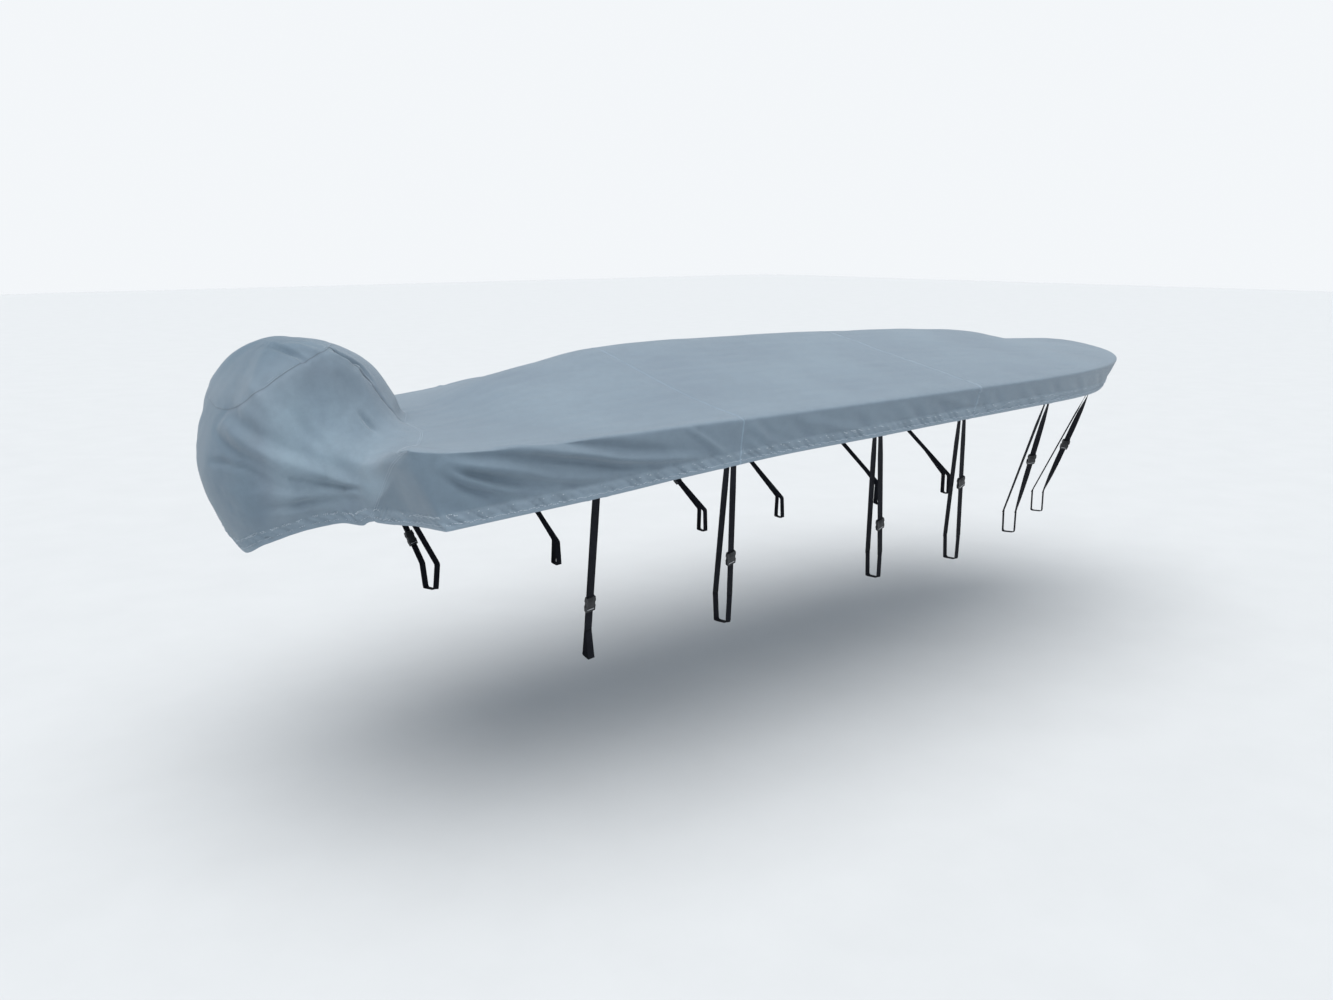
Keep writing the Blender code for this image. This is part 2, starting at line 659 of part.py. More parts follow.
def strap_rows(trees, row, side):
    """Centres, width directions and outward faces of one strap, from end to end."""
    foot, along, outward = hem_station(row.x_hem, side)
    heading = math.radians(row.heading)
    rail = Vector((math.cos(heading), -side * math.sin(heading), 0.0))
    out = Vector((-side * rail.y, side * rail.x, 0.0))
    low = Vector((row.x_low, side * row.y_low, row.z_low))
    drop = Vector((0.0, 0.0, -RAIL_HEIGHT))
    lean = (low - foot).dot(along) / (foot.z - low.z)

    def leg_top(shift, layer):
        spots = []
        for height in (STRAP_OVERLAP, 0.024, 0.016, 0.008, 0.0):
            shifted = foot + along * (shift - lean * height)
            spots.append(shifted + Vector((0.0, 0.0, height + 0.001)))
        rooms = [room_behind(trees, spot, along, outward) for spot in spots]
        rooms = [min(rooms[max(k - 1, 0):k + 2]) for k in range(len(rooms))]
        back = STRAP_CLEARANCE + WEBBING_THICKNESS * 0.5 + layer
        return [(spot + outward * (room - back), along, outward)
                for spot, room in zip(spots, rooms)]

    spread = row.spread * math.sqrt(1 + lean ** 2)
    forward = leg_top(spread, 0.0)
    rear = leg_top(-spread, STRAP_LAYER if row.spread == 0 else 0.0)
    rear.reverse()
    corners = [low + rail * row.low_spread,
               low + drop + rail * row.low_spread * 0.4,
               low + drop - out * RAIL_WIDTH - rail * row.low_spread * 0.4,
               low - out * RAIL_WIDTH - rail * row.low_spread]
    wrap = []
    path = [forward[-1][0]] + corners + [rear[0][0]]
    for k in range(1, 5):
        before = (path[k - 1] - path[k]).normalized() * RAIL_ROUND
        after = (path[k + 1] - path[k]).normalized() * RAIL_ROUND
        centre = path[k]
        for a, b in ((1.0, 0.0), (0.35, 0.35), (0.0, 1.0)):
            wrap.append((centre + before * a + after * b, rail, None))
    rows = list(forward)
    for k in range(1, LEG_STEPS):
        t = k / LEG_STEPS
        across = along.lerp(rail, t).normalized()
        turned = -side * math.radians(row.twist) * min(1.0, 3.4 * t, 3.4 * (1 - t))
        across.rotate(Quaternion((wrap[0][0] - forward[-1][0]).normalized(), turned))
        rows.append((forward[-1][0].lerp(wrap[0][0], t), across, None))
    rows += wrap
    for k in range(1, LEG_STEPS):
        t = k / LEG_STEPS
        rows.append((wrap[-1][0].lerp(rear[0][0], t), rail.lerp(along, t).normalized(), None))
    return rows + rear, len(forward)


def square_to_path(rows):
    """Width directions of a strap made square to its path where it runs free."""
    result = []
    for k, (centre, across, face) in enumerate(rows):
        before = rows[max(k - 1, 0)][0]
        after = rows[min(k + 1, len(rows) - 1)][0]
        way = after - before
        if face is not None:
            way -= face * way.dot(face)
        way.normalize()
        result.append((centre, (across - way * across.dot(way)).normalized()))
    return result


def add_strap(trees, row, side, name, finish, collection):
    """One loop of webbing, and the frame of its buckle."""
    rows, top_count = strap_rows(trees, row, side)
    rows = square_to_path(rows)
    strip = bmesh.new()
    last = None
    for centre, across in rows:
        pair = [strip.verts.new(centre + across * (0.5 * WEBBING * w)) for w in (-1, 1)]
        if last:
            strip.faces.new([last[0], last[1], pair[1], pair[0]])
        last = pair
    mesh = bpy.data.meshes.new(name)
    strip.to_mesh(mesh)
    strip.free()
    made = new_object(name, mesh, finish, collection)
    shell = made.modifiers.new("thickness", "SOLIDIFY")
    shell.thickness = WEBBING_THICKNESS
    shell.offset = 0.0
    shell.use_even_offset = True
    start = rows[top_count - 1][0]
    end = rows[top_count + LEG_STEPS - 1][0]
    centre = start.lerp(end, row.buckle)
    down = (end - start).normalized()
    position = row.buckle * LEG_STEPS
    base = min(int(position), LEG_STEPS - 1)
    first = rows[top_count - 1 + base][1]
    second = rows[top_count + base][1]
    across = first.lerp(second, position - base)
    across = (across - down * across.dot(down)).normalized()
    return centre, across, down


def add_buckle(frame, name, finish, collection, cutters):
    """A buckle with the slot its strap runs through."""
    centre, across, down = frame
    face = across.cross(down)
    outline = [(row.half, row.along) for row in BUCKLE]
    outline += [(-row.half, row.along) for row in reversed(BUCKLE)]
    solid = bmesh.new()
    ring = [solid.verts.new((w, a, -0.5 * BUCKLE_DEPTH)) for w, a in outline]
    bottom = solid.faces.new(ring)
    grown = bmesh.ops.extrude_face_region(solid, geom=[bottom])["geom"]
    raised = [v for v in grown if isinstance(v, bmesh.types.BMVert)]
    bmesh.ops.translate(solid, verts=raised, vec=(0.0, 0.0, BUCKLE_DEPTH))
    bmesh.ops.recalc_face_normals(solid, faces=solid.faces)
    mesh = bpy.data.meshes.new(name)
    solid.to_mesh(mesh)
    solid.free()
    made = new_object(name, mesh, finish, collection)
    made.matrix_world = Matrix((across, down, face)).transposed().to_4x4()
    made.matrix_world.translation = centre
    edge = made.modifiers.new("edge", "BEVEL")
    edge.width = 0.0022
    edge.segments = 1
    edge.limit_method = "ANGLE"
    edge.angle_limit = math.radians(50)
    slot_mesh = bpy.data.meshes.new(name + "_slot")
    slot = bmesh.new()
    bmesh.ops.create_cube(slot, size=1.0)
    bmesh.ops.scale(slot, vec=(BUCKLE_SLOT[0], BUCKLE_LENGTH + 0.02, BUCKLE_SLOT[1]),
                    verts=slot.verts)
    slot.to_mesh(slot_mesh)
    slot.free()
    cutter = bpy.data.objects.new(name + "_slot", slot_mesh)
    cutter.matrix_world = made.matrix_world
    cutter.hide_render = True
    cutter.display_type = "WIRE"
    cutters.objects.link(cutter)
    hole = made.modifiers.new("slot", "BOOLEAN")
    hole.operation = "DIFFERENCE"
    hole.solver = "EXACT"
    hole.object = cutter
    return made


def build():
    for old in list(bpy.data.objects):
        bpy.data.objects.remove(old, do_unlink=True)
    collection = bpy.data.collections.new(OBJECT_NAME)
    bpy.context.scene.collection.children.link(collection)
    cutters = bpy.data.collections.new("cutters")
    bpy.context.scene.collection.children.link(cutters)
    sheet = whole_sheet()
    for panel, name in PANEL_NAMES.items():
        cloth = material(name + "_cloth", (0.30, 0.38, 0.46), 0.85)
        cut_panel(sheet, panel, name, cloth, collection)
    bpy.context.view_layer.update()
    trees = inner_faces(collection)
    for side, word in ((-1, "starboard"), (1, "port")):
        for number, row in enumerate(STRAPS, 1):
            name = "strap_" + word + "_" + str(number)
            webbing = material(name + "_webbing", (0.012, 0.014, 0.022), 0.8)
            frame = add_strap(trees, row, side, name, webbing, collection)
            name = "buckle_" + word + "_" + str(number)
            plastic = material(name + "_plastic", (0.015, 0.015, 0.018), 0.45)
            add_buckle(frame, name, plastic, collection, cutters)
    sheet.free()


build()
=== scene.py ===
"""Looks of the fitted boat cover: thin draped cloth, webbing, buckles and stitching.

The cloth is the same draped surface as the CAD model's, worked out more finely, with its
folds, hem and seams on it, and then cut into its panels.  Metres, +X the bow, +Y port.
"""
import functools
import math
from collections import namedtuple

import bmesh
import bpy
import numpy as np
from mathutils import Matrix, Quaternion, Vector
from mathutils.bvhtree import BVHTree
from mathutils.kdtree import KDTree


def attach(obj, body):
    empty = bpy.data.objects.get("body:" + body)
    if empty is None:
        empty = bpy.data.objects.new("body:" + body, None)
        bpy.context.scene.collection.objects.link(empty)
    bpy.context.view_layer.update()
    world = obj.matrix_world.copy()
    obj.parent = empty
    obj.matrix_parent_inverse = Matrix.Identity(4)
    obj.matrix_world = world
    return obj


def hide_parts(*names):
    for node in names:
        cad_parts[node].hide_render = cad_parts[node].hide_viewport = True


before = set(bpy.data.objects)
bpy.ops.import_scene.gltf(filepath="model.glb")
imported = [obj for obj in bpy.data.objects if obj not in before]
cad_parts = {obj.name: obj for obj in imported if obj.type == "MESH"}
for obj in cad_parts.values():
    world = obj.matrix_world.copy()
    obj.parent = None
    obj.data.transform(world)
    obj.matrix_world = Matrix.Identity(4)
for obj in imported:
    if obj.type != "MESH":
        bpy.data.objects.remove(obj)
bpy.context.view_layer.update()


# -------------------------------- tables
def cubic(a, b, leaving, arriving, t):
    """A value between a and b on a curve with these slopes at its ends."""
    return (a * (2 * t ** 3 - 3 * t ** 2 + 1) + leaving * (t ** 3 - 2 * t ** 2 + t)
            + b * (3 * t ** 2 - 2 * t ** 3) + arriving * (t ** 3 - t ** 2))


class Curves:
    """Smooth curves without overshoot through the columns of a table, over its x."""

    def __init__(self, fields, *rows):
        self.xs, *columns = zip(*rows)
        self.columns = dict(zip(fields.split(), columns))

    @functools.lru_cache(maxsize=None)
    def at(self, column, x):
        xs, ys = self.xs, self.columns[column]
        if x <= xs[0] or x >= xs[-1]:
            return ys[0] if x <= xs[0] else ys[-1]
        slopes = [(ys[i + 1] - ys[i]) / (xs[i + 1] - xs[i]) for i in range(len(xs) - 1)]
        i = max(k for k in range(len(xs) - 1) if xs[k] <= x)

        def tangent(k):
            if k == 0 or k == len(slopes):
                return slopes[min(k, len(slopes) - 1)]
            before, after = slopes[k - 1], slopes[k]
            return 2 * before * after / (before + after) if before * after > 0 else 0.0

        step = xs[i + 1] - xs[i]
        return cubic(ys[i], ys[i + 1], step * tangent(i), step * tangent(i + 1), (x - xs[i]) / step)


def table(fields, *rows):
    """Rows of named values."""
    kind = namedtuple("Row", fields)
    return [kind(*row) for row in rows]


def millimetres(value):
    """Metres from millimetres, through any nesting."""
    if isinstance(value, (tuple, list)):
        return [millimetres(v) for v in value]
    return None if value is None else value / 1000


# -------------------------------- driving dimensions
STERN_X = -2.205              # aft corner of the gunwale
BOW_X = 2.19                  # tip of the bow
SEAM_1_X = -1.078             # seam between the aft and the middle panel
SEAM_2_X = 0.14               # seam between the middle and the bow panel
BOW_FULLNESS = 7.8            # how far forward the sides stay parallel
CORNER_LENGTH = 0.16          # length of the rounding of each stern corner
CORNER_INSET = 0.040          # how far that rounding draws the corner inboard
RIDGE_RADIUS = 0.05           # softness of the ridge along the middle
STEM_RAKE = 0.13              # the stem's hem lies this far aft of the tip
APEX = (-2.265, 0.0, 0.096)   # top of the motor hood
HEM_BAND = 0.045              # height of the stitched hem
ROPE_CHANNEL = 0.016          # height of the rope's channel at the bottom of the hem
ROPE_BULGE = 0.0035           # how far the rope stands out
CLOTH_THICKNESS = 0.0014

WEBBING = 0.0254              # width of the tie-down straps
WEBBING_THICKNESS = 0.0015
STRAP_OVERLAP = 0.032         # how far each strap end reaches up behind the hem
STRAP_CLEARANCE = 0.0004      # between a strap end and the cloth it is sewn to
STRAP_LAYER = 0.0045          # how far behind its twin a stacked leg lies at the hem
STRAP_ROOM = 0.0010           # how far out of its rest the cloth stays over a strap end
RAIL_WIDTH = 0.052            # the space each strap's loop leaves for the rail
RAIL_HEIGHT = 0.100
RAIL_ROUND = 0.009
BUCKLE_DEPTH = 0.0125

# Gunwale: x, half breadth before the bow closes, height, and how much lower the port side sags.
GUNWALE = Curves(
    "half height sag",
    (-2.205, 0.695, -0.186, 0.0), (-1.9, 0.716, -0.183, 0.026), (-1.5, 0.753, -0.176, 0.036),
    (-1.3, 0.77, -0.171, 0.024), (-1.095, 0.786, -0.168, 0.004), (-0.6, 0.81, -0.164, 0.0),
    (0.0, 0.822, -0.162, 0.0), (0.6, 0.824, -0.163, 0.0), (2.19, 0.824, -0.165, 0.0))

# Ridge of the deck: x, height above the gunwale, and how hollow the cloth hangs at its side.
DECK = Curves(
    "ridge hollow",
    (-2.205, 0.03, 1.0), (-1.85, 0.035, 1.0), (-1.75, 0.046, 1.15), (-1.66, 0.076, 1.35),
    (-1.6, 0.1, 1.4), (-1.56, 0.114, 1.4), (-1.45, 0.132, 1.35), (-1.27, 0.149, 1.3),
    (-1.09, 0.168, 1.3), (-0.85, 0.173, 1.25), (-0.39, 0.17, 1.15), (0.14, 0.1615, 1.02),
    (0.61, 0.15, 1.0), (0.89, 0.136, 1.0), (1.18, 0.116, 1.0), (1.28, 0.098, 1.0),
    (1.39, 0.069, 0.95), (1.67, 0.052, 0.85), (1.86, 0.046, 0.8), (2.05, 0.026, 0.8),
    (2.19, 0.0, 0.8))

# Skirt: x, how deep it hangs and what share of the breadth its hem is drawn in.
SKIRT = Curves(
    "depth tuck",
    (-2.205, 0.212, 0.01), (-1.93, 0.199, 0.015), (-1.6, 0.184, 0.02), (-1.27, 0.165, 0.026),
    (-0.82, 0.143, 0.03), (-0.45, 0.136, 0.034), (0.06, 0.125, 0.038), (0.6, 0.12, 0.045),
    (1.2, 0.128, 0.07), (1.7, 0.14, 0.12), (2.19, 0.165, 0.2))

# Rays from the top of the hood outward and down, on the starboard side from the bow round
# to the stern: the edge of the hood's cap, its fullest part, its lower wall and the seam or
# hem where it ends.  y is outboard.  A z of None lies on the deck.
RAYS = millimetres((
    ((-2100, 0, 76), (-1965, 0, 0), (-1897, 0, -95), (-1855, 0, None)),
    ((-2165, 145, 70), (-2045, 160, -35), (-1988, 168, -118), (-1937, 170, None)),
    ((-2225, 188, 56), (-2110, 216, -90), (-2055, 245, -160), (-1958, 310, None)),
    ((-2280, 200, 36), (-2180, 236, -140), (-2120, 290, -210), (-2062, 480, None)),
    ((-2320, 200, 16), (-2230, 240, -180), (-2175, 315, -255), (-2205, 655, -163)),
    ((-2350, 197, -2), (-2262, 243, -208), (-2190, 295, -310), (-2170, 500, -266)),
    ((-2375, 192, -20), (-2290, 243, -230), (-2214, 272, -360), (-2150, 335, -426)),
    ((-2400, 180, -38), (-2335, 238, -245), (-2268, 250, -365), (-2208, 240, -436)),
    ((-2420, 160, -56), (-2405, 214, -260), (-2362, 226, -385), (-2320, 208, -453)),
    ((-2438, 108, -84), (-2474, 145, -268), (-2434, 150, -420), (-2396, 140, -490)),
    ((-2450, 0, -100), (-2506, 0, -270), (-2454, 0, -440), (-2408, 0, -537))))
GUSSET_RAY = 1                # seam between the hood's front gusset and its side
SEAM_1_RAY = 1.5              # ray to the end of seam 1 at the gunwale
CORNER_RAY = 4                # ray to the stern corner
TAUT_CORNER = 0.8             # how straight the cloth runs from the hood to that corner
TAUT_SPAN = 2.0               # rays over which it is so
HEM_RAY = 6                   # from here on the hood ends in its own hem
AFT_RAY = 10                  # middle of the hood's back

# Hem below the stern edge, from the corner to the hood.
STERN_HEM = {4: (-2.112, 0.700, -0.392), 5: (-2.108, 0.520, -0.408), 6: (-2.150, 0.335, -0.426)}

# Folds: half width, height out of the cloth, and a line of points on it.
Fold = namedtuple("Fold", "width height points")
FOLDS = [Fold(width, height, points) for width, height, *points in millimetres((
    (11, 12.5, (-1937, -692, -182), (-1849, -720, -194), (-1769, -726, -205), (-1645, -736, -227),
     (-1557, -742, -248), (-1474, -747, -260), (-1323, -757, -271), (-1224, -762, -281)),
    (11, 13.5, (-2106, -688, -204), (-2059, -695, -217), (-2003, -703, -226), (-1928, -710, -240),
     (-1849, -716, -257), (-1787, -720, -276), (-1683, -727, -294), (-1572, -736, -301)),
    (9, 11.5, (-2112, -686, -220), (-2077, -693, -240), (-2043, -698, -258), (-1987, -703, -281),
     (-1922, -708, -303), (-1865, -712, -313)),
    (12, -7, (-1753, -729, -183), (-1618, -740, -203), (-1476, -750, -226), (-1325, -758, -255)),
    (10, -8.5, (-2032, -700, -190), (-1943, -710, -201), (-1849, -718, -214), (-1768, -724, -231),
     (-1644, -734, -254), (-1556, -740, -273), (-1435, -747, -286)),
    (9, -6, (-2101, -689, -219), (-2059, -695, -234), (-2004, -702, -251), (-1928, -709, -277),
     (-1849, -714, -295), (-1787, -718, -308)),
    (7, -6, (-2107, -687, -237), (-2078, -693, -262), (-2044, -697, -286), (-1987, -703, -304)),
    (7, 7, (-1301, -768, -184), (-1235, -769, -222), (-1139, -767, -284)),
    (18, 19, (-2463, -73, -134), (-2461, -117, -147), (-2448, -168, -171), (-2420, -201, -195),
     (-2367, -229, -232), (-2280, -249, -275), (-2202, -282, -309), (-2181, -339, -318)),
    (18, -6, (-2449, -56, -100), (-2447, -150, -130), (-2421, -196, -161), (-2380, -223, -197),
     (-2338, -236, -232)),
    (7, -15, (-2342, -239, -283), (-2251, -255, -307), (-2203, -281, -323), (-2182, -335, -323)),
    (10, 8, (-2484, -97, -321), (-2423, -199, -325), (-2324, -243, -337), (-2227, -265, -341),
     (-2187, -313, -330)),
    (9, -10, (-2468, -96, -377), (-2400, -207, -368), (-2325, -240, -364), (-2228, -265, -356)),
    (8, -10, (-2500, -39, -246), (-2488, -100, -239), (-2451, -176, -250), (-2412, -209, -281),
     (-2363, -234, -310)),
    (7, -12, (-2312, -23, 81), (-2303, -94, 76), (-2287, -152, 65), (-2264, -194, 45)),
    (12, 8, (-2269, -102, 85), (-2249, -150, 76), (-2214, -180, 61)),
    (12, 5, (-2390, -2, 4), (-2406, -153, -28), (-2396, -195, -64), (-2361, -224, -138)),
    (14, -6, (-2357, -205, -27), (-2323, -225, -96), (-2277, -232, -164), (-2230, -255, -218)),
    (24, -5, (-2178, -202, 17), (-2141, -208, -44), (-2113, -223, -104), (-2093, -252, -162),
     (-2089, -280, -189)),
    (7, -12, (-2164, -159, 63), (-2119, -155, 39), (-2059, -134, 6), (-2031, -145, -34)),
    (12, 8, (-1043, -785, -196), (-975, -781, -246), (-897, -778, -281)),
    (11, 6, (-1052, -777, -244), (-975, -773, -293)),
    (14, 6, (-833, -796, -192), (-577, -792, -259), (-305, -792, -287)),
    (12, -5, (-162, -810, -196), (41, -797, -245), (321, -784, -272)),
    (6, -6, (-2476, -25, -156), (-2479, -88, -183), (-2468, -145, -206), (-2440, -186, -226)),
    (6, 5, (-2412, -207, -204), (-2367, -231, -258), (-2321, -243, -285)),
    (8, -8, (-2112, -231, -121), (-2095, -244, -151), (-2085, -262, -174))))]
FOLD_GAIN = 1.15
PORT_FOLDS = 0.4              # share of their height on the hood's port side,
PORT_FOLDS_X = -2.2           # aft of here

# Straps: where each leaves the hem, where it passes the rail's outer top edge (y is outboard),
# the rail's heading toward the bow and how far down the forward leg the buckle sits; then
# half the distance of the two legs at the hem and at the rail, where no distance stacks them,
# and how far the forward leg is twisted between its ends, in degrees.
STRAPS = table(
    "x_hem x_low y_low z_low heading buckle spread low_spread twist",
    (-1.622, -1.500, 0.535, -0.842, 0.0, 0.80, 0.0, -0.018, 0.0),
    (-1.114, -0.905, 0.535, -0.848, 0.0, 0.70, 0.0132, 0.010, 0.0),
    (-0.418, -0.080, 0.535, -0.835, 0.0, 0.74, 0.0132, 0.006, 0.0),
    (0.074, 0.430, 0.535, -0.848, 0.0, 0.52, 0.0132, 0.010, 0.0),
    (0.705, 1.040, 0.416, -0.850, 16.0, 0.50, 0.0138, 0.008, 40.0),
    (1.170, 1.450, 0.300, -0.830, 16.0, 0.50, 0.0138, 0.002, 58.0))

# Outline of a buckle: distance along it and half width; its plates are cut this much wider,
# and each lies between its outer face and this distance from the middle.
BUCKLE = table("along half", (-0.029, 0.0160), (-0.012, 0.0185), (-0.007, 0.0160),
               (0.003, 0.0160), (0.008, 0.0185), (0.029, 0.0165))
PLATE_GROW = -0.0003
PLATE_INSIDE = 0.0013
# Grips and tongue raised on each plate: half width, start, length and height.
BUCKLE_RELIEF = [(0.0085, -0.0235 + 0.0035 * k, 0.0017, 0.0009) for k in range(5)]
BUCKLE_RELIEF.append((0.0045, 0.0, 0.0120, 0.0010))

# Panels.  Both sides of the hood are one piece of cloth here.
AFT, MIDDLE, BOW, CAP, FRONT, SIDES = range(6)
PANEL_NAMES = ("aft_panel", "middle_panel", "bow_panel", "hood_cap", "hood_front", "hood_sides")
STANDS_FOR = {SIDES: ("hood_side_starboard", "hood_side_port")}
# Cut size of each: width, length and the share of that rectangle that it covers.
FLAT = {AFT: (2.05, 1.35, 0.80), MIDDLE: (2.00, 1.23, 1.0), BOW: (2.00, 2.15, 0.80),
        CAP: (0.46, 0.42, 0.80), FRONT: (0.55, 0.36, 0.80), SIDES: (1.60, 0.62, 0.80)}
LAP_ORDER = {AFT: 0, MIDDLE: 1, BOW: 2, CAP: 5, FRONT: 4, SIDES: 3}
# Seams that show: how far the upper cloth is lifted and how deep the sewn line pulls in.
SEAM_LIFT = {(AFT, MIDDLE): 0.0007, (MIDDLE, BOW): 0.0005, (CAP, FRONT): 0.0004,
             (CAP, SIDES): 0.0005, (FRONT, SIDES): 0.0009, (AFT, SIDES): 0.0003}
SEAM_PULL = {(AFT, MIDDLE): 0.0010, (MIDDLE, BOW): 0.0007, (CAP, FRONT): 0.0010,
             (CAP, SIDES): 0.0020, (FRONT, SIDES): 0.0030}
# Seams whose colour gets a painted shade line along them, and seams with a lighter line of their light
# thread.
FAINT_SEAMS = ((CAP, FRONT), (CAP, SIDES))
DARK_SEAMS = FAINT_SEAMS + ((FRONT, SIDES),)
LIGHT_SEAMS = ((AFT, MIDDLE), (MIDDLE, BOW))
FAINT_SHIFT = 0.0010          # how much narrower the dark line of a faint seam is

# Small forms on the cloth.  Soft waves on the deck and the hood: height, size, seed, stretch.
DECK_WAVES = ((0.0022, 0.42, 3, (0.7, 1.3, 1.0)), (0.0009, 0.13, 5, (0.6, 1.6, 1.0)))
HOOD_WAVES = ((0.0020, 0.19, 11, (1.2, 1.2, 0.7)), (0.0007, 0.06, 12, (1.3, 1.3, 0.6)))
# Drape of the skirt and puckers of the hem: share, pitch, wander, its size and its seed.
DRAPE_WAVES = ((1.0, 0.145, 1.7, 0.5, 7), (0.6, 0.083, 2.1, 0.4, 8))
PUCKER_WAVES = ((1.0, 0.034, 1.6, 0.3, 15), (0.5, 0.024, 1.9, 0.2, 16))
DRAPE = 0.0016
PUCKER = 0.0030
HEM_LAP = 0.0012              # how far the hem band stands out
STRAP_RIB = 0.0018            # ribs that run up from where a strap pulls
SAMPLE_STEP = 0.004           # how closely seams and hem are followed

# Stitches: rows beside a seam and up from the hem's edge, and the form of one stitch as its
# place along it, across it (1 is half its width) and out of the cloth (1 is its thickness).
SEAM_STITCHES = (0.0028, 0.0090)
HEM_STITCHES = (HEM_BAND - 0.004, HEM_BAND - 0.0005, ROPE_CHANNEL + 0.001)
STITCH_SUNK = 0.0003          # how far its ends lie in the cloth
STITCH_TIPS = ((-0.5, 0.0, 0.0), (-0.25, 1.0, 0.0), (-0.25, 0.0, 1.0), (-0.25, -1.0, 0.0),
               (0.25, 1.0, 0.0), (0.25, 0.0, 1.0), (0.25, -1.0, 0.0), (0.5, 0.0, 0.0))
STITCH_FACES = ((0, 2, 1), (0, 3, 2), (0, 1, 3), (1, 2, 5, 4), (2, 3, 6, 5), (3, 1, 4, 6),
                (4, 5, 7), (5, 6, 7), (6, 4, 7))

# -------------------------------- looks
CAMERA_AT = (-3.713, -3.491, 0.386)
CAMERA_HEADING, CAMERA_PITCH = 49.5, 12.3      # degrees from +X, and down
LENS = 32.4
FLOOR_Z = -1.365
SKY_LIGHT = (0.415, 0.46, 0.505)
HORIZON_LIGHT = (0.90, 0.925, 0.95)
SUN = (-0.14, -0.12, 1.0)
SUN_STRENGTH = 2.86
SUN_SPREAD = 80.0
SUN_TINT = (1.0, 0.985, 0.96)
FLOOR_TONE = (0.612, 0.625, 0.638)
CLOTH_TINT = ((0.184, 0.240, 0.297), (0.204, 0.266, 0.326))
# Painted light and shade in the cloth's colour: spots on the hood made lighter or darker (x, y, z,
# reach, share), and painted shade on the upright skirt, more of it towards the stern corners, starting
# past the corner's edge line.
PAINTED_LIGHT_AND_SHADE_SPOTS = table("x y z reach share", (-2.30, 0.23, -0.13, 0.17, 1.20),
                   (-2.33, 0.08, 0.06, 0.20, -1.10), (-2.19, 0.42, -0.30, 0.07, 0.75))
SKIRT_PAINTED_SHADE = 0.28
CORNER_PAINTED_SHADE = 0.22
CORNER_EDGE = ((0.656, -0.167), (0.367, -0.373))      # (|y|, z) from the gunwale to the hem

# -------------------------------- how finely the cloth is cut
RAY_STEPS = [(0, 1.5, 56), (1.5, 4, 112), (4, 6, 34), (6, 10, 60)]
RING_STEPS = (14, 18, 11, 11)  # top to cap edge, to belly, to low, to seam
DECK_STEPS = 64               # hood seam to gunwale
SKIRT_STEPS = 26              # gunwale to hem band
LEG_STEPS = 6
MIDDLE_ROWS = 100
BOW_ROWS = 150
HALF_COLUMNS = 56             # half the breadth of the deck
HEM_STEPS = 14                # rows in the hem band


# -------------------------------- small mathematics
def catmull(p0, p1, p2, p3, t):
    """A point between p1 and p2 on a smooth curve through four points."""
    return (p1 * 2 + (p2 - p0) * t + (p0 * 2 - p1 * 5 + p2 * 4 - p3) * t ** 2
            + (p1 * 3 - p0 - p2 * 3 + p3) * t ** 3) * 0.5


def lerp(a, b, t):
    return a + (b - a) * t


def flow(points, start, end):
    """Tangents of a smooth curve through points, with its two end directions given."""
    spans = [(b - a) for a, b in zip(points, points[1:])]
    tangents = [start]
    for before, after in zip(spans, spans[1:]):
        first, second = before.normalized(), after.normalized()
        tangents.append((first * after.length + second * before.length)
                        / (before.length + after.length))
    tangents.append(end)
    return tangents


def hermite(a, b, leaving, arriving, t):
    """A point between a and b on a curve with these directions at its ends."""
    size = (b - a).length
    return cubic(a, b, leaving * size, arriving * size, t)


# -------------------------------- the draped form
def side_of(q):
    """Side of the ray q: -1 starboard, 1 port."""
    return -1 if q >= 0 else 1


def past_seam_1(q):
    """Share of the way from seam 1 to the stern corner at the ray q."""
    return (abs(q) - SEAM_1_RAY) / (CORNER_RAY - SEAM_1_RAY)


def half_breadth(x):
    """Half breadth of the gunwale, with rounded stern corners and a V bow."""
    s = min(max((x - STERN_X) / (BOW_X - STERN_X), 0.0), 1.0)
    breadth = GUNWALE.at("half", x) * (1 - s ** BOW_FULLNESS)
    corner = max(0.0, 1 - (x - STERN_X) / CORNER_LENGTH)
    return breadth - CORNER_INSET * corner ** 2


def gunwale_height(x, side):
    """Height of the gunwale; side is -1 for starboard, 1 for port and 0 between them."""
    return GUNWALE.at("height", x) - GUNWALE.at("sag", x) * 0.5 * (side + 1)


def deck_height(x, y):
    """Height of the cloth between the gunwales, a soft tent over the ridge."""
    half = max(half_breadth(x), 0.001)
    reach = math.sqrt(half ** 2 + RIDGE_RADIUS ** 2) - RIDGE_RADIUS
    out = (math.sqrt(y ** 2 + RIDGE_RADIUS ** 2) - RIDGE_RADIUS) / reach
    rise = max(0.0, 1 - out) ** DECK.at("hollow", x)
    across = max(-1.0, min(1.0, y / half))
    return gunwale_height(x, across) + DECK.at("ridge", x) * rise


def skirt_point(x, side, down):
    """A point on the skirt, from the gunwale (down 0) to the hem (down 1)."""
    s = (x - STERN_X) / (BOW_X - STERN_X)
    y = half_breadth(x) * (1 - SKIRT.at("tuck", x) * down ** 1.2)
    rake = STEM_RAKE * down * s ** 10
    height = gunwale_height(x, side) - SKIRT.at("depth", x) * down
    return Vector((x - rake, side * y, height))


def deck_point(x, y):
    return Vector((x, y, deck_height(x, y)))


def ray_key(index):
    """One row of the ray table, for any whole ray number round the hood; port is negative."""
    wrapped = index % (2 * AFT_RAY)
    port = wrapped > AFT_RAY
    row = RAYS[2 * AFT_RAY - wrapped if port else wrapped]
    side = 1 if port else -1
    return [Vector((x, side * y, deck_height(x, y) if z is None else z)) for x, y, z in row]


def ray_points(q):
    """Cap edge, belly, low and seam points of the ray at q, between the table's rays."""
    base = math.floor(q)
    t = q - base
    rows = [ray_key(base + k) for k in (-1, 0, 1, 2)]
    return [catmull(rows[0][c], rows[1][c], rows[2][c], rows[3][c], t) for c in range(4)]


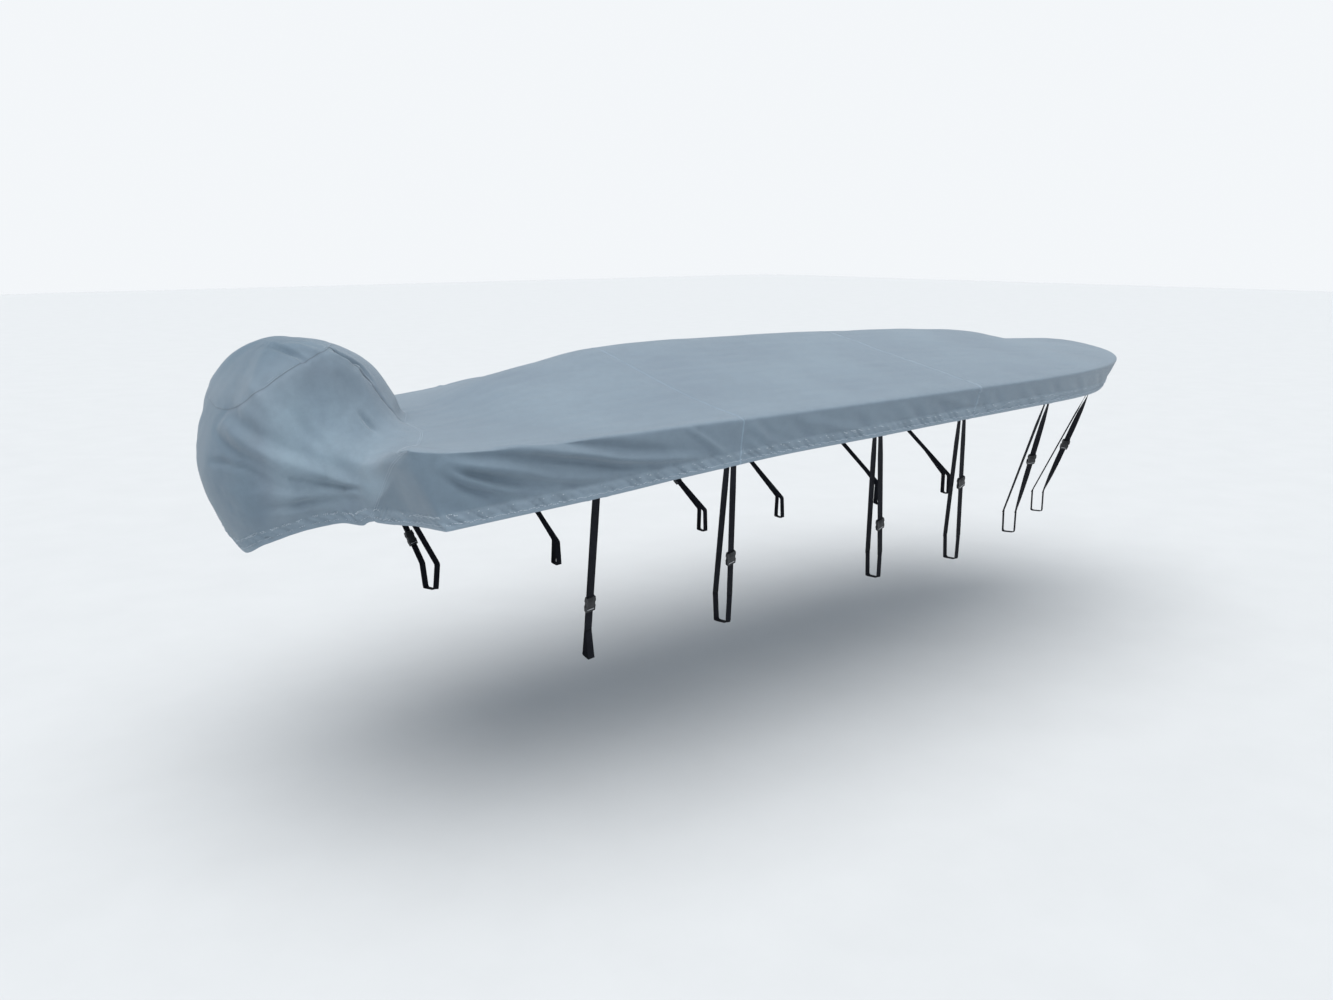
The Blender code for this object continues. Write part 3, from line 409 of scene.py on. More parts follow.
def gunwale_end(q):
    """Where the ray q leaves the deck: on seam 1, or on the gunwale."""
    side = side_of(q)
    if abs(q) <= SEAM_1_RAY:
        return deck_point(SEAM_1_X, side * half_breadth(SEAM_1_X) * abs(q) / SEAM_1_RAY)
    t = past_seam_1(q)
    x = lerp(SEAM_1_X, STERN_X, t)
    peak = ray_key(round(-side * CORNER_RAY))[3]
    return skirt_point(x, side, 0.0).lerp(peak, max(0.0, (t - 0.7) / 0.3) ** 2)


def hood_ray(q):
    """The points of one ray from the top of the hood to its seam."""
    top = Vector(APEX)
    cap, belly, low, seam = ray_points(q)
    outward = Vector((cap.x - top.x, cap.y - top.y, 0.0)).normalized()
    last = (seam - low).normalized()
    if abs(q) < CORNER_RAY:
        along_deck = (gunwale_end(q) - seam).normalized()
        last = last.lerp(along_deck, 0.7 * min(1.0, CORNER_RAY - abs(q))).normalized()
    knots = [top, cap, belly, low, seam]
    ways = flow(knots, outward, last)
    near_corner = max(0.0, 1 - abs(abs(q) - CORNER_RAY) / TAUT_SPAN)
    points = [top]
    for span, steps in enumerate(RING_STEPS):
        leaving = ways[span]
        if span == len(RING_STEPS) - 1:
            leaving = leaving.lerp((seam - low).normalized(), TAUT_CORNER * near_corner)
        for k in range(1, steps + 1):
            points.append(hermite(knots[span], knots[span + 1], leaving, ways[span + 1],
                                  k / steps))
    return points


def deck_ray(q):
    """The points of one ray from the hood's seam to seam 1 or the gunwale."""
    start = ray_points(q)[3]
    end = gunwale_end(q)
    if abs(q) == CORNER_RAY:
        return [start] * (DECK_STEPS + 1)
    points = [start]
    lift = start.z - deck_height(start.x, start.y)
    rise = end.z - deck_height(end.x, end.y)
    for k in range(1, DECK_STEPS):
        t = k / DECK_STEPS
        x, y = lerp(start.x, end.x, t), lerp(start.y, end.y, t)
        points.append(Vector((x, y, deck_height(x, y) + lerp(lift, rise, t))))
    return points + [end]


def outward_at(x, side):
    """Level direction square to the gunwale at x."""
    slope = (half_breadth(x + 0.005) - half_breadth(x - 0.005)) / 0.01
    return Vector((-slope, side, 0.0)).normalized()


def skirt_rows(depth):
    """Rows of a skirt, with the rope's roll at the bottom of the hem."""
    band = min(HEM_BAND, 0.4 * depth) / depth
    rope = min(ROPE_CHANNEL, 0.15 * depth) / depth
    bulge = ROPE_BULGE * min(1.0, depth / 0.1)
    rows = [(k / SKIRT_STEPS * (1 - band), 0.0) for k in range(SKIRT_STEPS + 1)]
    for k in range(1, HEM_STEPS + 1):
        down = 1 - band + band * (k / HEM_STEPS) ** 0.85
        roll = math.exp(-((down - 1 + 0.45 * rope) / (0.5 * rope)) ** 2)
        groove = math.exp(-((down - 1 + 1.25 * rope) / (0.35 * rope)) ** 2)
        lap = 0.0011 * math.exp(-((down - 1 + band) / (0.4 * band)) ** 2)
        rows.append((down, bulge * (1.1 * roll - 0.35 * groove) + lap * min(1.0, depth / 0.1)))
    return rows


def skirt_column(top, foot, outward):
    """The rows of one skirt column between its top and its foot."""
    depth = max((foot - top).length, 0.001)
    return [top.lerp(foot, down) + outward * out for down, out in skirt_rows(depth)]


def stern_skirt_column(q):
    """From the stern edge down to the stern hem, between the corner and the hood."""
    side = side_of(q)
    top = ray_points(q)[3]
    index = min(int(abs(q)), HEM_RAY - 1)
    t = abs(q) - index
    foot = Vector(STERN_HEM[index]).lerp(Vector(STERN_HEM[index + 1]), t)
    foot.y *= side
    if abs(q) == HEM_RAY:
        return [top] * (SKIRT_STEPS + 1 + HEM_STEPS)
    outward = Vector((-1.0, side * max(0.0, CORNER_RAY + 1 - abs(q)), 0.0)).normalized()
    return skirt_column(top, foot, outward)


def side_skirt_column(q):
    """From the gunwale of the aft panel down to its hem."""
    side = side_of(q)
    t = past_seam_1(q)
    corner = Vector(STERN_HEM[CORNER_RAY])
    foot = skirt_point(lerp(SEAM_1_X, corner.x, t), side, 1.0)
    corner.y *= side
    foot = foot.lerp(corner, t ** 6)
    outward = outward_at(lerp(SEAM_1_X, STERN_X, t), side)
    outward = outward.lerp(Vector((-1.0, side, 0.0)).normalized(), t ** 6)
    return skirt_column(gunwale_end(q), foot, outward)


def section(x):
    """The whole section at x, from the starboard hem over the ridge to the port hem."""
    half = half_breadth(x)
    foot = skirt_point(x, -1, 1.0)
    column = skirt_column(skirt_point(x, -1, 0.0), foot, outward_at(x, -1))
    if half < 0.001:
        column = [Vector((p.x, 0.0, p.z)) for p in column]
    starboard = column[:0:-1]
    deck = [deck_point(x, half * k / HALF_COLUMNS) for k in range(-HALF_COLUMNS, HALF_COLUMNS + 1)]
    drop = gunwale_height(x, 1) - gunwale_height(x, -1)
    port = [Vector((p.x, -p.y, p.z + drop)) for p in reversed(starboard)]
    return starboard + deck + port


# -------------------------------- the whole sheet
def steps_of(spans):
    """Ray numbers of the starboard side, from the bow round to the middle of the back."""
    values = [float(spans[0][0])]
    for start, end, count in spans:
        values += [start + (end - start) * k / count for k in range(1, count + 1)]
    return [round(v, 6) for v in values]


def add_grid(sheet, lines, panel):
    """Add the faces between neighbouring lines of points; panel may depend on the row."""
    layer = sheet.faces.layers.int["panel"]
    rows = [[sheet.verts.new(p) for p in line] for line in lines]
    for a, b in zip(rows, rows[1:]):
        for k in range(len(a) - 1):
            unique = []
            for v in (a[k], b[k], b[k + 1], a[k + 1]):
                if all((v.co - u.co).length > 1e-6 for u in unique):
                    unique.append(v)
            if len(unique) > 2:
                sheet.faces.new(unique)[layer] = panel(k) if callable(panel) else panel


def stern_sheet(sheet, side):
    """Hood, aft deck, skirt and stern skirt of one side (-1 starboard, 1 port)."""
    order = [-side * v for v in steps_of(RAY_STEPS)][::-side]
    hood = [hood_ray(q) for q in order]
    for a, b, qa, qb in zip(hood, hood[1:], order, order[1:]):
        wall = FRONT if max(abs(qa), abs(qb)) <= GUSSET_RAY else SIDES
        add_grid(sheet, [a, b], lambda k, w=wall: CAP if k < RING_STEPS[0] else w)
    for column, first, last in ((deck_ray, 0, CORNER_RAY),
                                (side_skirt_column, SEAM_1_RAY, CORNER_RAY),
                                (stern_skirt_column, CORNER_RAY, HEM_RAY)):
        add_grid(sheet, [column(q) for q in order if first <= abs(q) <= last], AFT)


def forward_sheet(sheet):
    """Middle and bow panels, section by section."""
    middle = [lerp(SEAM_1_X, SEAM_2_X, k / MIDDLE_ROWS) for k in range(MIDDLE_ROWS + 1)]
    bow = []
    for k in range(BOW_ROWS + 1):
        u = k / BOW_ROWS
        bow.append(lerp(SEAM_2_X, BOW_X, 0.35 * u + 0.65 * math.sin(0.5 * math.pi * u)))
    for stations, panel in ((middle, MIDDLE), (bow, BOW)):
        add_grid(sheet, [section(x) for x in reversed(stations)], panel)


# -------------------------------- the fine cloth
def line_gap(points, line):
    """Distance of many points from a line of points, and how far along it, from 0 to 1."""
    best = np.full(len(points), 1e9)
    along = np.zeros(len(points))
    line = np.array(line, float)
    for k, (a, b) in enumerate(zip(line, line[1:])):
        step = b - a
        t = np.clip((points - a) @ step / (step @ step), 0.0, 1.0)
        gap = np.linalg.norm(points - (a + t[:, None] * step), axis=1)
        closer = gap < best
        best[closer] = gap[closer]
        along[closer] = (k + t[closer]) / (len(line) - 1)
    return best, along


def ripple(points, size, seed, stretch=(1.0, 1.0, 1.0)):
    """Soft seeded waves of about one size, from -1 to 1."""
    rng = np.random.RandomState(seed)
    total = np.zeros(len(points))
    placed = points * np.array(stretch)
    for _ in range(9):
        way = rng.normal(size=3)
        way /= np.linalg.norm(way)
        pitch = size * rng.uniform(0.7, 1.5)
        total += np.sin(2 * math.pi * (placed @ way) / pitch + rng.uniform(0, 6.28))
    return total / 4.0


def smoothstep(low, high, value):
    t = np.clip((value - low) / (high - low), 0.0, 1.0)
    return t * t * (3 - 2 * t)


def bell(gap, reach):
    """A soft peak of 1 where gap is 0."""
    return np.exp(-(gap / reach) ** 2)


def waves(points, run, rows):
    """Waves along run: of each a share, its pitch, its wander, the wander's size and seed."""
    return sum(share * np.sin(2 * math.pi * run / pitch + wander * ripple(points, size, seed))
               for share, pitch, wander, size, seed in rows)


def samples_along(points, pairs, ends=0):
    """Points at short steps along the lines between numbered points."""
    made = []
    for a, b in pairs:
        step = points[b] - points[a]
        count = max(1, int(np.linalg.norm(step) / SAMPLE_STEP))
        made += [points[a] + step * k / count for k in range(count + ends)]
    return np.array(made)


def distance_to(points, samples, reach):
    """Distance of each point to the nearest sample, up to reach, and which sample it is."""
    tree = KDTree(len(samples))
    for k, sample in enumerate(samples):
        tree.insert(sample, k)
    tree.balance()
    low = np.min(samples, axis=0) - reach
    high = np.max(samples, axis=0) + reach
    gap = np.full(len(points), reach)
    which = np.zeros(len(points), int)
    near = np.all((points > low) & (points < high), axis=1)
    for k in np.nonzero(near)[0]:
        _, index, away = tree.find(points[k])
        if away < reach:
            gap[k] = away
            which[k] = index
    return gap, which


def chains(pairs):
    """Edges joined into runs of vertices."""
    links = {}
    for a, b in pairs:
        links.setdefault(a, []).append(b)
        links.setdefault(b, []).append(a)
    used = set()
    runs = []
    starts = [v for v, near in links.items() if len(near) != 2] + list(links)
    for start in starts:
        for first in links[start]:
            if (start, first) in used:
                continue
            run = [start, first]
            used.update({(start, first), (first, start)})
            while len(links[run[-1]]) == 2:
                ahead = [v for v in links[run[-1]] if (run[-1], v) not in used]
                if not ahead:
                    break
                used.update({(run[-1], ahead[0]), (ahead[0], run[-1])})
                run.append(ahead[0])
            runs.append(run)
    return runs


class Cloth:
    """The whole cover's outer face as arrays."""

    def __init__(self):
        sheet = bmesh.new()
        sheet.faces.layers.int.new("panel")
        for side in (-1, 1):
            stern_sheet(sheet, side)
        forward_sheet(sheet)
        bmesh.ops.remove_doubles(sheet, verts=sheet.verts, dist=0.00002)
        bmesh.ops.recalc_face_normals(sheet, faces=sheet.faces)
        sheet.normal_update()
        top = max(sheet.faces, key=lambda f: f.calc_center_median().z)
        if top.normal.z < 0:
            bmesh.ops.reverse_faces(sheet, faces=sheet.faces)
        self.mesh = bpy.data.meshes.new("whole_cloth")
        sheet.to_mesh(self.mesh)
        layer = sheet.faces.layers.int["panel"]
        self.panel = np.array([f[layer] for f in sheet.faces])
        self.faces = [[v.index for v in f.verts] for f in sheet.faces]
        self.edges = np.array([[v.index for v in e.verts] for e in sheet.edges])
        self.hem_edges, self.seams = [], {}
        for edge in sheet.edges:
            pair = (edge.verts[0].index, edge.verts[1].index)
            panels = {f[layer] for f in edge.link_faces}
            if len(edge.link_faces) == 1:
                self.hem_edges.append(pair)
            elif len(panels) == 2:
                self.seams.setdefault(tuple(sorted(panels)), []).append(pair)
        sheet.free()
        self.points = np.empty(len(self.mesh.vertices) * 3)
        self.mesh.vertices.foreach_get("co", self.points)
        self.points = self.points.reshape(-1, 3)
        self.normals = self.vertex_normals()

    def vertex_normals(self):
        self.mesh.vertices.foreach_set("co", self.points.ravel())
        self.mesh.update()
        normals = np.empty(len(self.points) * 3)
        self.mesh.vertex_normals.foreach_get("vector", normals)
        return normals.reshape(-1, 3)

    def soften(self, weight, rounds):
        """Round off the surface where weight is above 0."""
        a, b = self.edges.T
        size = len(weight)
        count = np.bincount(a, minlength=size) + np.bincount(b, minlength=size)
        for _ in range(rounds):
            mean = [(np.bincount(a, column[b], size) + np.bincount(b, column[a], size)) / count
                    for column in self.points.T]
            self.points += (np.array(mean).T - self.points) * weight[:, None]

    def raise_by(self, height):
        self.points += self.normals * height[:, None]


def gunwale_line():
    """Points along the gunwale crease of both sides and the stern."""
    points = []
    for side in (-1, 1):
        points += [gunwale_end(-side * lerp(SEAM_1_RAY, CORNER_RAY, k / 300)) for k in range(301)]
        points += [ray_points(-side * lerp(CORNER_RAY, HEM_RAY, k / 120))[3] for k in range(120)]
        points += [skirt_point(lerp(SEAM_1_X, BOW_X, math.sin(0.5 * math.pi * k / 699)), side, 0.0)
                   for k in range(700)]
    return np.array(points)


def hem_samples(cloth):
    """Points along the hem, and how far round the hem each lies."""
    points, places, total = [], [], 0.0
    for run in chains(cloth.hem_edges):
        for pair in zip(run, run[1:]):
            some = samples_along(cloth.points, [pair])
            length = np.linalg.norm(cloth.points[pair[1]] - cloth.points[pair[0]])
            points.append(some)
            places += [total + length * k / len(some) for k in range(len(some))]
            total += length
    return np.vstack(points), np.array(places)


def press_folds(cloth, above_band):
    """Raise and sink the folds; the port side of the hood has weaker copies of them."""
    rest = cloth.points.copy()
    for sign in (1, -1):
        seen = rest * np.array([1.0, sign, 1.0])
        share = smoothstep(0.03, -0.05, seen[:, 1])
        if sign < 0:
            weaker = PORT_FOLDS * smoothstep(-0.10, -0.24, seen[:, 1])
            share = np.where(seen[:, 0] < PORT_FOLDS_X, weaker, share)
        for fold in FOLDS:
            gap, along = line_gap(seen, fold.points)
            fade = np.sqrt(np.sin(math.pi * np.clip(along, 0.03, 0.97)))
            form = np.exp(-0.5 * (gap / fold.width) ** 2)
            form -= 0.30 * np.exp(-0.5 * ((gap - 2.1 * fold.width) / (0.9 * fold.width)) ** 2)
            height = FOLD_GAIN * fold.height * fade * form * share * above_band
            cloth.raise_by(np.where(gap < 5 * fold.width, height, 0.0))


def relief(cloth, p, edge_gap, run):
    """Height of the small forms on the cloth: waves, puckers, the hem's lap and strap ribs."""
    hem_gap = cloth.hem_gap
    level = cloth.normals[:, 2]
    deck = smoothstep(0.55, 0.9, level) * smoothstep(-2.25, -1.9, p[:, 0])
    side = smoothstep(0.75, 0.3, np.abs(level)) * (hem_gap < 0.3)
    hood = smoothstep(-1.9, -2.1, p[:, 0]) * smoothstep(0.72, 0.6, np.abs(p[:, 1]))
    calm = smoothstep(0.0, 0.06, edge_gap)
    height = np.zeros(len(p))
    for part, rows in ((deck, DECK_WAVES), (hood, HOOD_WAVES)):
        for size, *wave in rows:
            height += part * size * ripple(p, *wave) * calm
    near_hem = smoothstep(0.0, 0.05, hem_gap) * smoothstep(0.17, 0.05, hem_gap)
    slant = p[:, 0] * 0.9 + p[:, 2] * 1.3
    height += side * (1 - 0.6 * hood) * near_hem * calm * DRAPE * waves(p, slant, DRAPE_WAVES)
    band = smoothstep(HEM_BAND * 1.25, HEM_BAND * 0.8, hem_gap) * smoothstep(0.004, 0.016, hem_gap)
    height += band * PUCKER * waves(p, run + 1.3 * hem_gap, PUCKER_WAVES)
    height += HEM_LAP * smoothstep(HEM_BAND * 1.08, HEM_BAND * 0.95, hem_gap)
    for row in STRAPS:
        for sign in (-1, 1):
            away = p - np.array(skirt_point(row.x_hem, sign, 1.0))
            spread = np.abs(away[:, 0]) / (0.020 + 0.35 * np.maximum(away[:, 2], 0.0))
            rib = bell(spread - 1.5, 0.45) * smoothstep(0.10, 0.0, away[:, 2])
            height += STRAP_RIB * rib * (np.linalg.norm(away, axis=1) < 0.16)
    return height


def sewn_in(cloth, p):
    """Height of the cloth in and beside its seams; their distances are kept for the material."""
    cloth.dark_gap, cloth.light_gap = np.full((2, len(p)), 0.12)
    pulled, beside = np.zeros((2, len(p)))
    for pair, pull in SEAM_PULL.items():
        gap, _ = distance_to(p, samples_along(p, cloth.seams[pair]), 0.05)
        # Distance for the painted shade line along the hood's seams.
        if pair in DARK_SEAMS:
            faint = FAINT_SHIFT * (pair in FAINT_SEAMS)
            cloth.dark_gap = np.minimum(cloth.dark_gap, gap + faint)
        if pair in LIGHT_SEAMS:
            cloth.light_gap = np.minimum(cloth.light_gap, gap)
        pulled = np.maximum(pulled, pull * bell(gap, 0.006))
        beside += 0.5 * pull * smoothstep(0.045, 0.0, gap) * ripple(p, 0.035, 21)
    return beside - pulled


def painted_light_and_shade(p, normals, hem_gap):
    """Painted light and shade in the cloth's colour at each point: lighter and darker spots on the
    hood, and painted shade on the hood's back and on the skirt's upright faces, more of it near the
    stern corners.
    """
    side = np.abs(p[:, 1])
    (y_top, z_top), (y_low, z_low) = CORNER_EDGE
    run = np.hypot(y_top - y_low, z_top - z_low)
    past = ((side - y_top) * (z_top - z_low) - (p[:, 2] - z_top) * (y_top - y_low)) / run
    beside = np.maximum(smoothstep(-0.006, 0.006, past), smoothstep(-2.0, -1.9, p[:, 0]))
    skirt = smoothstep(0.55, 0.30, np.abs(normals[:, 2])) * beside
    fade = np.zeros(len(p))
    for spot in PAINTED_LIGHT_AND_SHADE_SPOTS:
        gap = np.sqrt((p[:, 0] - spot.x) ** 2 + (side - spot.y) ** 2 + (p[:, 2] - spot.z) ** 2)
        fade += spot.share * bell(gap, spot.reach) * (1 - beside)
    # Painted shade on the back of the hood, below its top.
    fade -= 0.7 * smoothstep(-2.36, -2.46, p[:, 0]) * smoothstep(-0.02, -0.14, p[:, 2])
    # Painted shade on the upright skirt, stronger towards the stern corners, kept off the hem band.
    shade = SKIRT_PAINTED_SHADE + CORNER_PAINTED_SHADE * smoothstep(-1.75, -2.05, p[:, 0])
    return fade - shade * skirt * smoothstep(HEM_BAND * 0.95, HEM_BAND * 1.1, hem_gap)


def shape_cloth():
    """The cloth with its folds, rounded gunwale, seams and hem."""
    cloth = Cloth()
    rest = cloth.points.copy()
    edge_gap, _ = distance_to(rest, gunwale_line(), 0.10)
    cloth.soften(0.55 * bell(edge_gap, 0.022), 14)
    rim = np.zeros(len(rest), bool)
    rim[np.unique(cloth.hem_edges)] = True
    for side in (-1, 1):
        corner = np.array([skirt_point(STERN_X, side, k / 20) for k in range(21)])
        gap, _ = distance_to(rest, corner, 0.16)
        cloth.soften(np.where(rim, 0.0, 0.6 * bell(gap, 0.075)), 90)
    hem, places = hem_samples(cloth)
    cloth.hem_gap, nearest = distance_to(cloth.points, hem, 0.30)
    before = cloth.points.copy()
    cloth.normals = rest_normals = cloth.vertex_normals()
    press_folds(cloth, smoothstep(0.55 * HEM_BAND, 1.25 * HEM_BAND, cloth.hem_gap))
    cloth.normals = cloth.vertex_normals()
    # This relief height also paints a highlight on raised cloth and shade in its hollows, in the
    # colour.
    cloth.wear = relief(cloth, before, edge_gap, places[nearest]) + sewn_in(cloth, before)
    cloth.raise_by(cloth.wear)
    tops = [skirt_point(row.x_hem + shift, side, 1.0 - 0.030 * k) for row in STRAPS
            for side in (-1, 1) for k in range(7) for shift in (-0.02, -0.01, 0.0, 0.01, 0.02)]
    near_strap, _ = distance_to(before, np.array(tops), 0.06)
    inward = np.einsum("ij,ij->i", cloth.points - before, rest_normals)
    push = smoothstep(0.045, 0.012, near_strap) * np.maximum(0.0, STRAP_ROOM - inward)
    cloth.points += rest_normals * push[:, None]
    cloth.normals = cloth.vertex_normals()
    # Painted light and shade for the cloth's colour.
    cloth.fade = painted_light_and_shade(before, rest_normals, cloth.hem_gap)
    return cloth


# -------------------------------- straps
def hem_station(x, side):
    """Foot of the skirt at x, with the directions along the hem and outward."""
    foot = skirt_point(x, side, 1.0)
    ahead = skirt_point(x + 0.01, side, 1.0)
    along = Vector((ahead.x - foot.x, ahead.y - foot.y, 0.0)).normalized()
    outward = Vector((-side * along.y, side * along.x, 0.0))
    return foot, along, outward


def room_behind(trees, point, along, outward):
    """How far outward a strap's width at the point can move until it meets the cloth."""
    reach = 1.0
    for k in range(-4, 5):
        for step in range(-10, 11):
            start = point + along * (WEBBING * 0.56 * k / 4) - outward * 0.08
            start.z += 0.001 * step
            for tree in trees:
                hit = tree.ray_cast(start, outward)
                if hit[0] is not None:
                    reach = min(reach, (hit[0] - start).length - 0.08)
    return reach


def strap_rows(trees, row, side):
    """Centres, width directions and outward faces of one strap, from end to end."""
    foot, along, outward = hem_station(row.x_hem, side)
    heading = math.radians(row.heading)
    rail = Vector((math.cos(heading), -side * math.sin(heading), 0.0))
    out = Vector((-side * rail.y, side * rail.x, 0.0))
    low = Vector((row.x_low, side * row.y_low, row.z_low))
    drop = Vector((0.0, 0.0, -RAIL_HEIGHT))
    lean = (low - foot).dot(along) / (foot.z - low.z)

    def leg_top(shift, layer):
        spots = [foot + along * (shift - lean * height) + Vector((0.0, 0.0, height + 0.001))
                 for height in (STRAP_OVERLAP, 0.024, 0.016, 0.008, 0.0)]
        rooms = [room_behind(trees, spot, along, outward) for spot in spots]
        rooms = [min(rooms[max(k - 1, 0):k + 2]) for k in range(len(rooms))]
        back = STRAP_CLEARANCE + WEBBING_THICKNESS * 0.5 + layer
        return [(spot + outward * (room - back), along, outward)
                for spot, room in zip(spots, rooms)]

    spread = row.spread * math.sqrt(1 + lean ** 2)
    forward = leg_top(spread, 0.0)
    rear = leg_top(-spread, STRAP_LAYER if row.spread == 0 else 0.0)
    rear.reverse()
    corners = [low + rail * row.low_spread,
               low + drop + rail * row.low_spread * 0.4,
               low + drop - out * RAIL_WIDTH - rail * row.low_spread * 0.4,
               low - out * RAIL_WIDTH - rail * row.low_spread]
    wrap = []
    path = [forward[-1][0]] + corners + [rear[0][0]]
    for last, centre, following in zip(path, path[1:], path[2:]):
        before = (last - centre).normalized() * RAIL_ROUND
        after = (following - centre).normalized() * RAIL_ROUND
        wrap += [(centre + before * a + after * b, rail, None)
                 for a, b in ((1.0, 0.0), (0.35, 0.35), (0.0, 1.0))]
    rows = list(forward)
    for k in range(1, LEG_STEPS):
        t = k / LEG_STEPS
        across = along.lerp(rail, t).normalized()
        turned = -side * math.radians(row.twist) * min(1.0, 3.4 * t, 3.4 * (1 - t))
        across.rotate(Quaternion((wrap[0][0] - forward[-1][0]).normalized(), turned))
        rows.append((forward[-1][0].lerp(wrap[0][0], t), across, None))
    rows += wrap
    for k in range(1, LEG_STEPS):
        t = k / LEG_STEPS
        rows.append((wrap[-1][0].lerp(rear[0][0], t), rail.lerp(along, t).normalized(), None))
    return rows + rear, len(forward)


def beside(rows, k):
    """The centres before and after row k of a strap."""
    return rows[max(k - 1, 0)][0], rows[min(k + 1, len(rows) - 1)][0]


def square_to_path(rows):
    """Width directions of a strap made square to its path where it runs free."""
    result = []
    for k, (centre, across, face) in enumerate(rows):
        before, after = beside(rows, k)
        way = after - before
        if face is not None:
            way -= face * way.dot(face)
        way.normalize()
        result.append((centre, (across - way * across.dot(way)).normalized()))
    return result


def fine_rows(rows, top_count):
    """The rows of a strap with the bends round the rail made smooth."""
    centres = [row[0] for row in rows]
    widths = [row[1] for row in rows]
    result = []
    for k in range(len(rows) - 1):
        before = centres[max(k - 1, 0)]
        after = centres[min(k + 2, len(rows) - 1)]
        length = (centres[k + 1] - centres[k]).length
        bend = length < 0.03
        steps = max(1, int(length / 0.012)) if not bend else 3
        for n in range(steps):
            t = n / steps
            if bend and top_count <= k < len(rows) - top_count:
                centre = catmull(before, centres[k], centres[k + 1], after, t)
            else:
                centre = centres[k].lerp(centres[k + 1], t)
            result.append((centre, widths[k].lerp(widths[k + 1], t).normalized()))
    result.append((centres[-1], widths[-1]))
    return result


def buckle_frame(rows, top_count, row):
    """Where a strap's buckle sits, as in the CAD model."""
    start = rows[top_count - 1][0]
    end = rows[top_count + LEG_STEPS - 1][0]
    centre = start.lerp(end, row.buckle)
    down = (end - start).normalized()
    position = row.buckle * LEG_STEPS
    base = min(int(position), LEG_STEPS - 1)
    first = rows[top_count - 1 + base][1]
    second = rows[top_count + base][1]
    across = first.lerp(second, position - base)
    across = (across - down * across.dot(down)).normalized()
    return centre, across, down


# -------------------------------- pieces
def put(name, mesh, finish):
    """A new piece that rides on the frame's one body."""
    made = bpy.data.objects.new(name, mesh)
    bpy.context.scene.collection.objects.link(made)
    mesh.materials.append(finish)
    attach(made, "root")
    return made


def mesh_of(body, name, smooth=True):
    """The finished mesh of a body, which is given up."""
    bmesh.ops.recalc_face_normals(body, faces=body.faces)
    mesh = bpy.data.meshes.new(name)
    body.to_mesh(mesh)
    body.free()
    if smooth:
        mesh.shade_smooth()
    return mesh


def cloth_panel(cloth, panel, finish):
    """One panel of the cloth as a thin sheet, lapped over its neighbour at the seams."""
    name = PANEL_NAMES[panel]
    keep = np.nonzero(cloth.panel == panel)[0]
    used = sorted({v for k in keep for v in cloth.faces[k]})
    place = {v: n for n, v in enumerate(used)}
    points = cloth.points[used].copy()
    normals = cloth.normals[used]
    for pair, lift in SEAM_LIFT.items():
        if panel in pair and LAP_ORDER[panel] == max(LAP_ORDER[p] for p in pair):
            seam = samples_along(cloth.points, cloth.seams[pair], 1)
            gap, _ = distance_to(points, seam, 0.03)
            points += normals * (lift * smoothstep(0.018, 0.010, gap))[:, None]
    count = len(used)
    faces = [[place[v] for v in cloth.faces[k]] for k in keep]
    edges = {pair: None for face in faces for pair in zip(face, face[1:] + face[:1])}
    shell = faces + [[v + count for v in reversed(face)] for face in faces]
    shell += [[b, a, a + count, b + count] for a, b in edges if (b, a) not in edges]
    everywhere = np.vstack((points, points - normals * CLOTH_THICKNESS))
    mesh = bpy.data.meshes.new(name)
    mesh.from_pydata(everywhere.tolist(), [], shell)
    mesh.shade_smooth()
    for label, values in (("hem", cloth.hem_gap), ("wear", cloth.wear), ("fade", cloth.fade),
                          ("dark_seam", cloth.dark_gap), ("light_seam", cloth.light_gap)):
        layer = mesh.attributes.new(label, "FLOAT", "POINT")
        layer.data.foreach_set("value", np.tile(values[used], 2))
    owner = np.repeat(np.arange(len(shell)), [len(face) for face in shell])
    corner = np.concatenate(shell)
    flat = np.empty(len(shell) * 3)
    mesh.polygons.foreach_get("normal", flat)
    flat = flat.reshape(-1, 3)
    level = np.array([(1, 2), (0, 2), (0, 1)])[np.abs(flat).argmax(axis=1)[owner]]
    weave = np.zeros((len(corner), 3))
    weave[:, :2] = np.take_along_axis(everywhere[corner], level, axis=1)
    mesh.attributes.new("weave", "FLOAT_VECTOR", "CORNER").data.foreach_set("vector", weave.ravel())
    shading = np.vstack((normals, -normals))[corner]
    edge = owner >= 2 * len(faces)
    shading[edge] = flat[owner[edge]]
    mesh.normals_split_custom_set(shading.tolist())
    made = put("cloth_" + name, mesh, finish)
    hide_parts(*STANDS_FOR.get(panel, (name,)))
    return made


def ribbon(name, rows, finish):
    """Webbing with rounded selvedges along rows of (centre, width direction)."""
    half, thick = 0.5 * WEBBING, 0.5 * WEBBING_THICKNESS
    upper = [(-half, 0.0), (-half + 0.0004, thick * 0.8), (-half + 0.0016, thick),
             (0.0, thick * 0.92), (half - 0.0016, thick), (half - 0.0004, thick * 0.8)]
    outline = upper + [(-a, -b) for a, b in upper]
    sides = [0.0]
    for (a, b), (c, d) in zip(outline, outline[1:] + outline[:1]):
        sides.append(sides[-1] + math.hypot(c - a, d - b))
    body = bmesh.new()
    lay = body.loops.layers.float_vector.new("weave")
    last, last_run, run = None, 0.0, 0.0
    for k, (centre, across) in enumerate(rows):
        before, after = beside(rows, k)
        face = across.cross((after - before).normalized())
        run += (centre - before).length
        ring = [body.verts.new(centre + across * a + face * b) for a, b in outline]
        if last is None:
            body.faces.new(ring)
        for n in range(len(ring) if last else 0):
            m = (n + 1) % len(ring)
            quad = body.faces.new([last[n], last[m], ring[m], ring[n]])
            spots = ((n, last_run), (n + 1, last_run), (n + 1, run), (n, run))
            for loop, (side, place) in zip(quad.loops, spots):
                loop[lay] = (sides[side], place, 0.0)
        last, last_run = ring, run
    body.faces.new(last)
    return put(name, mesh_of(body, name), finish)


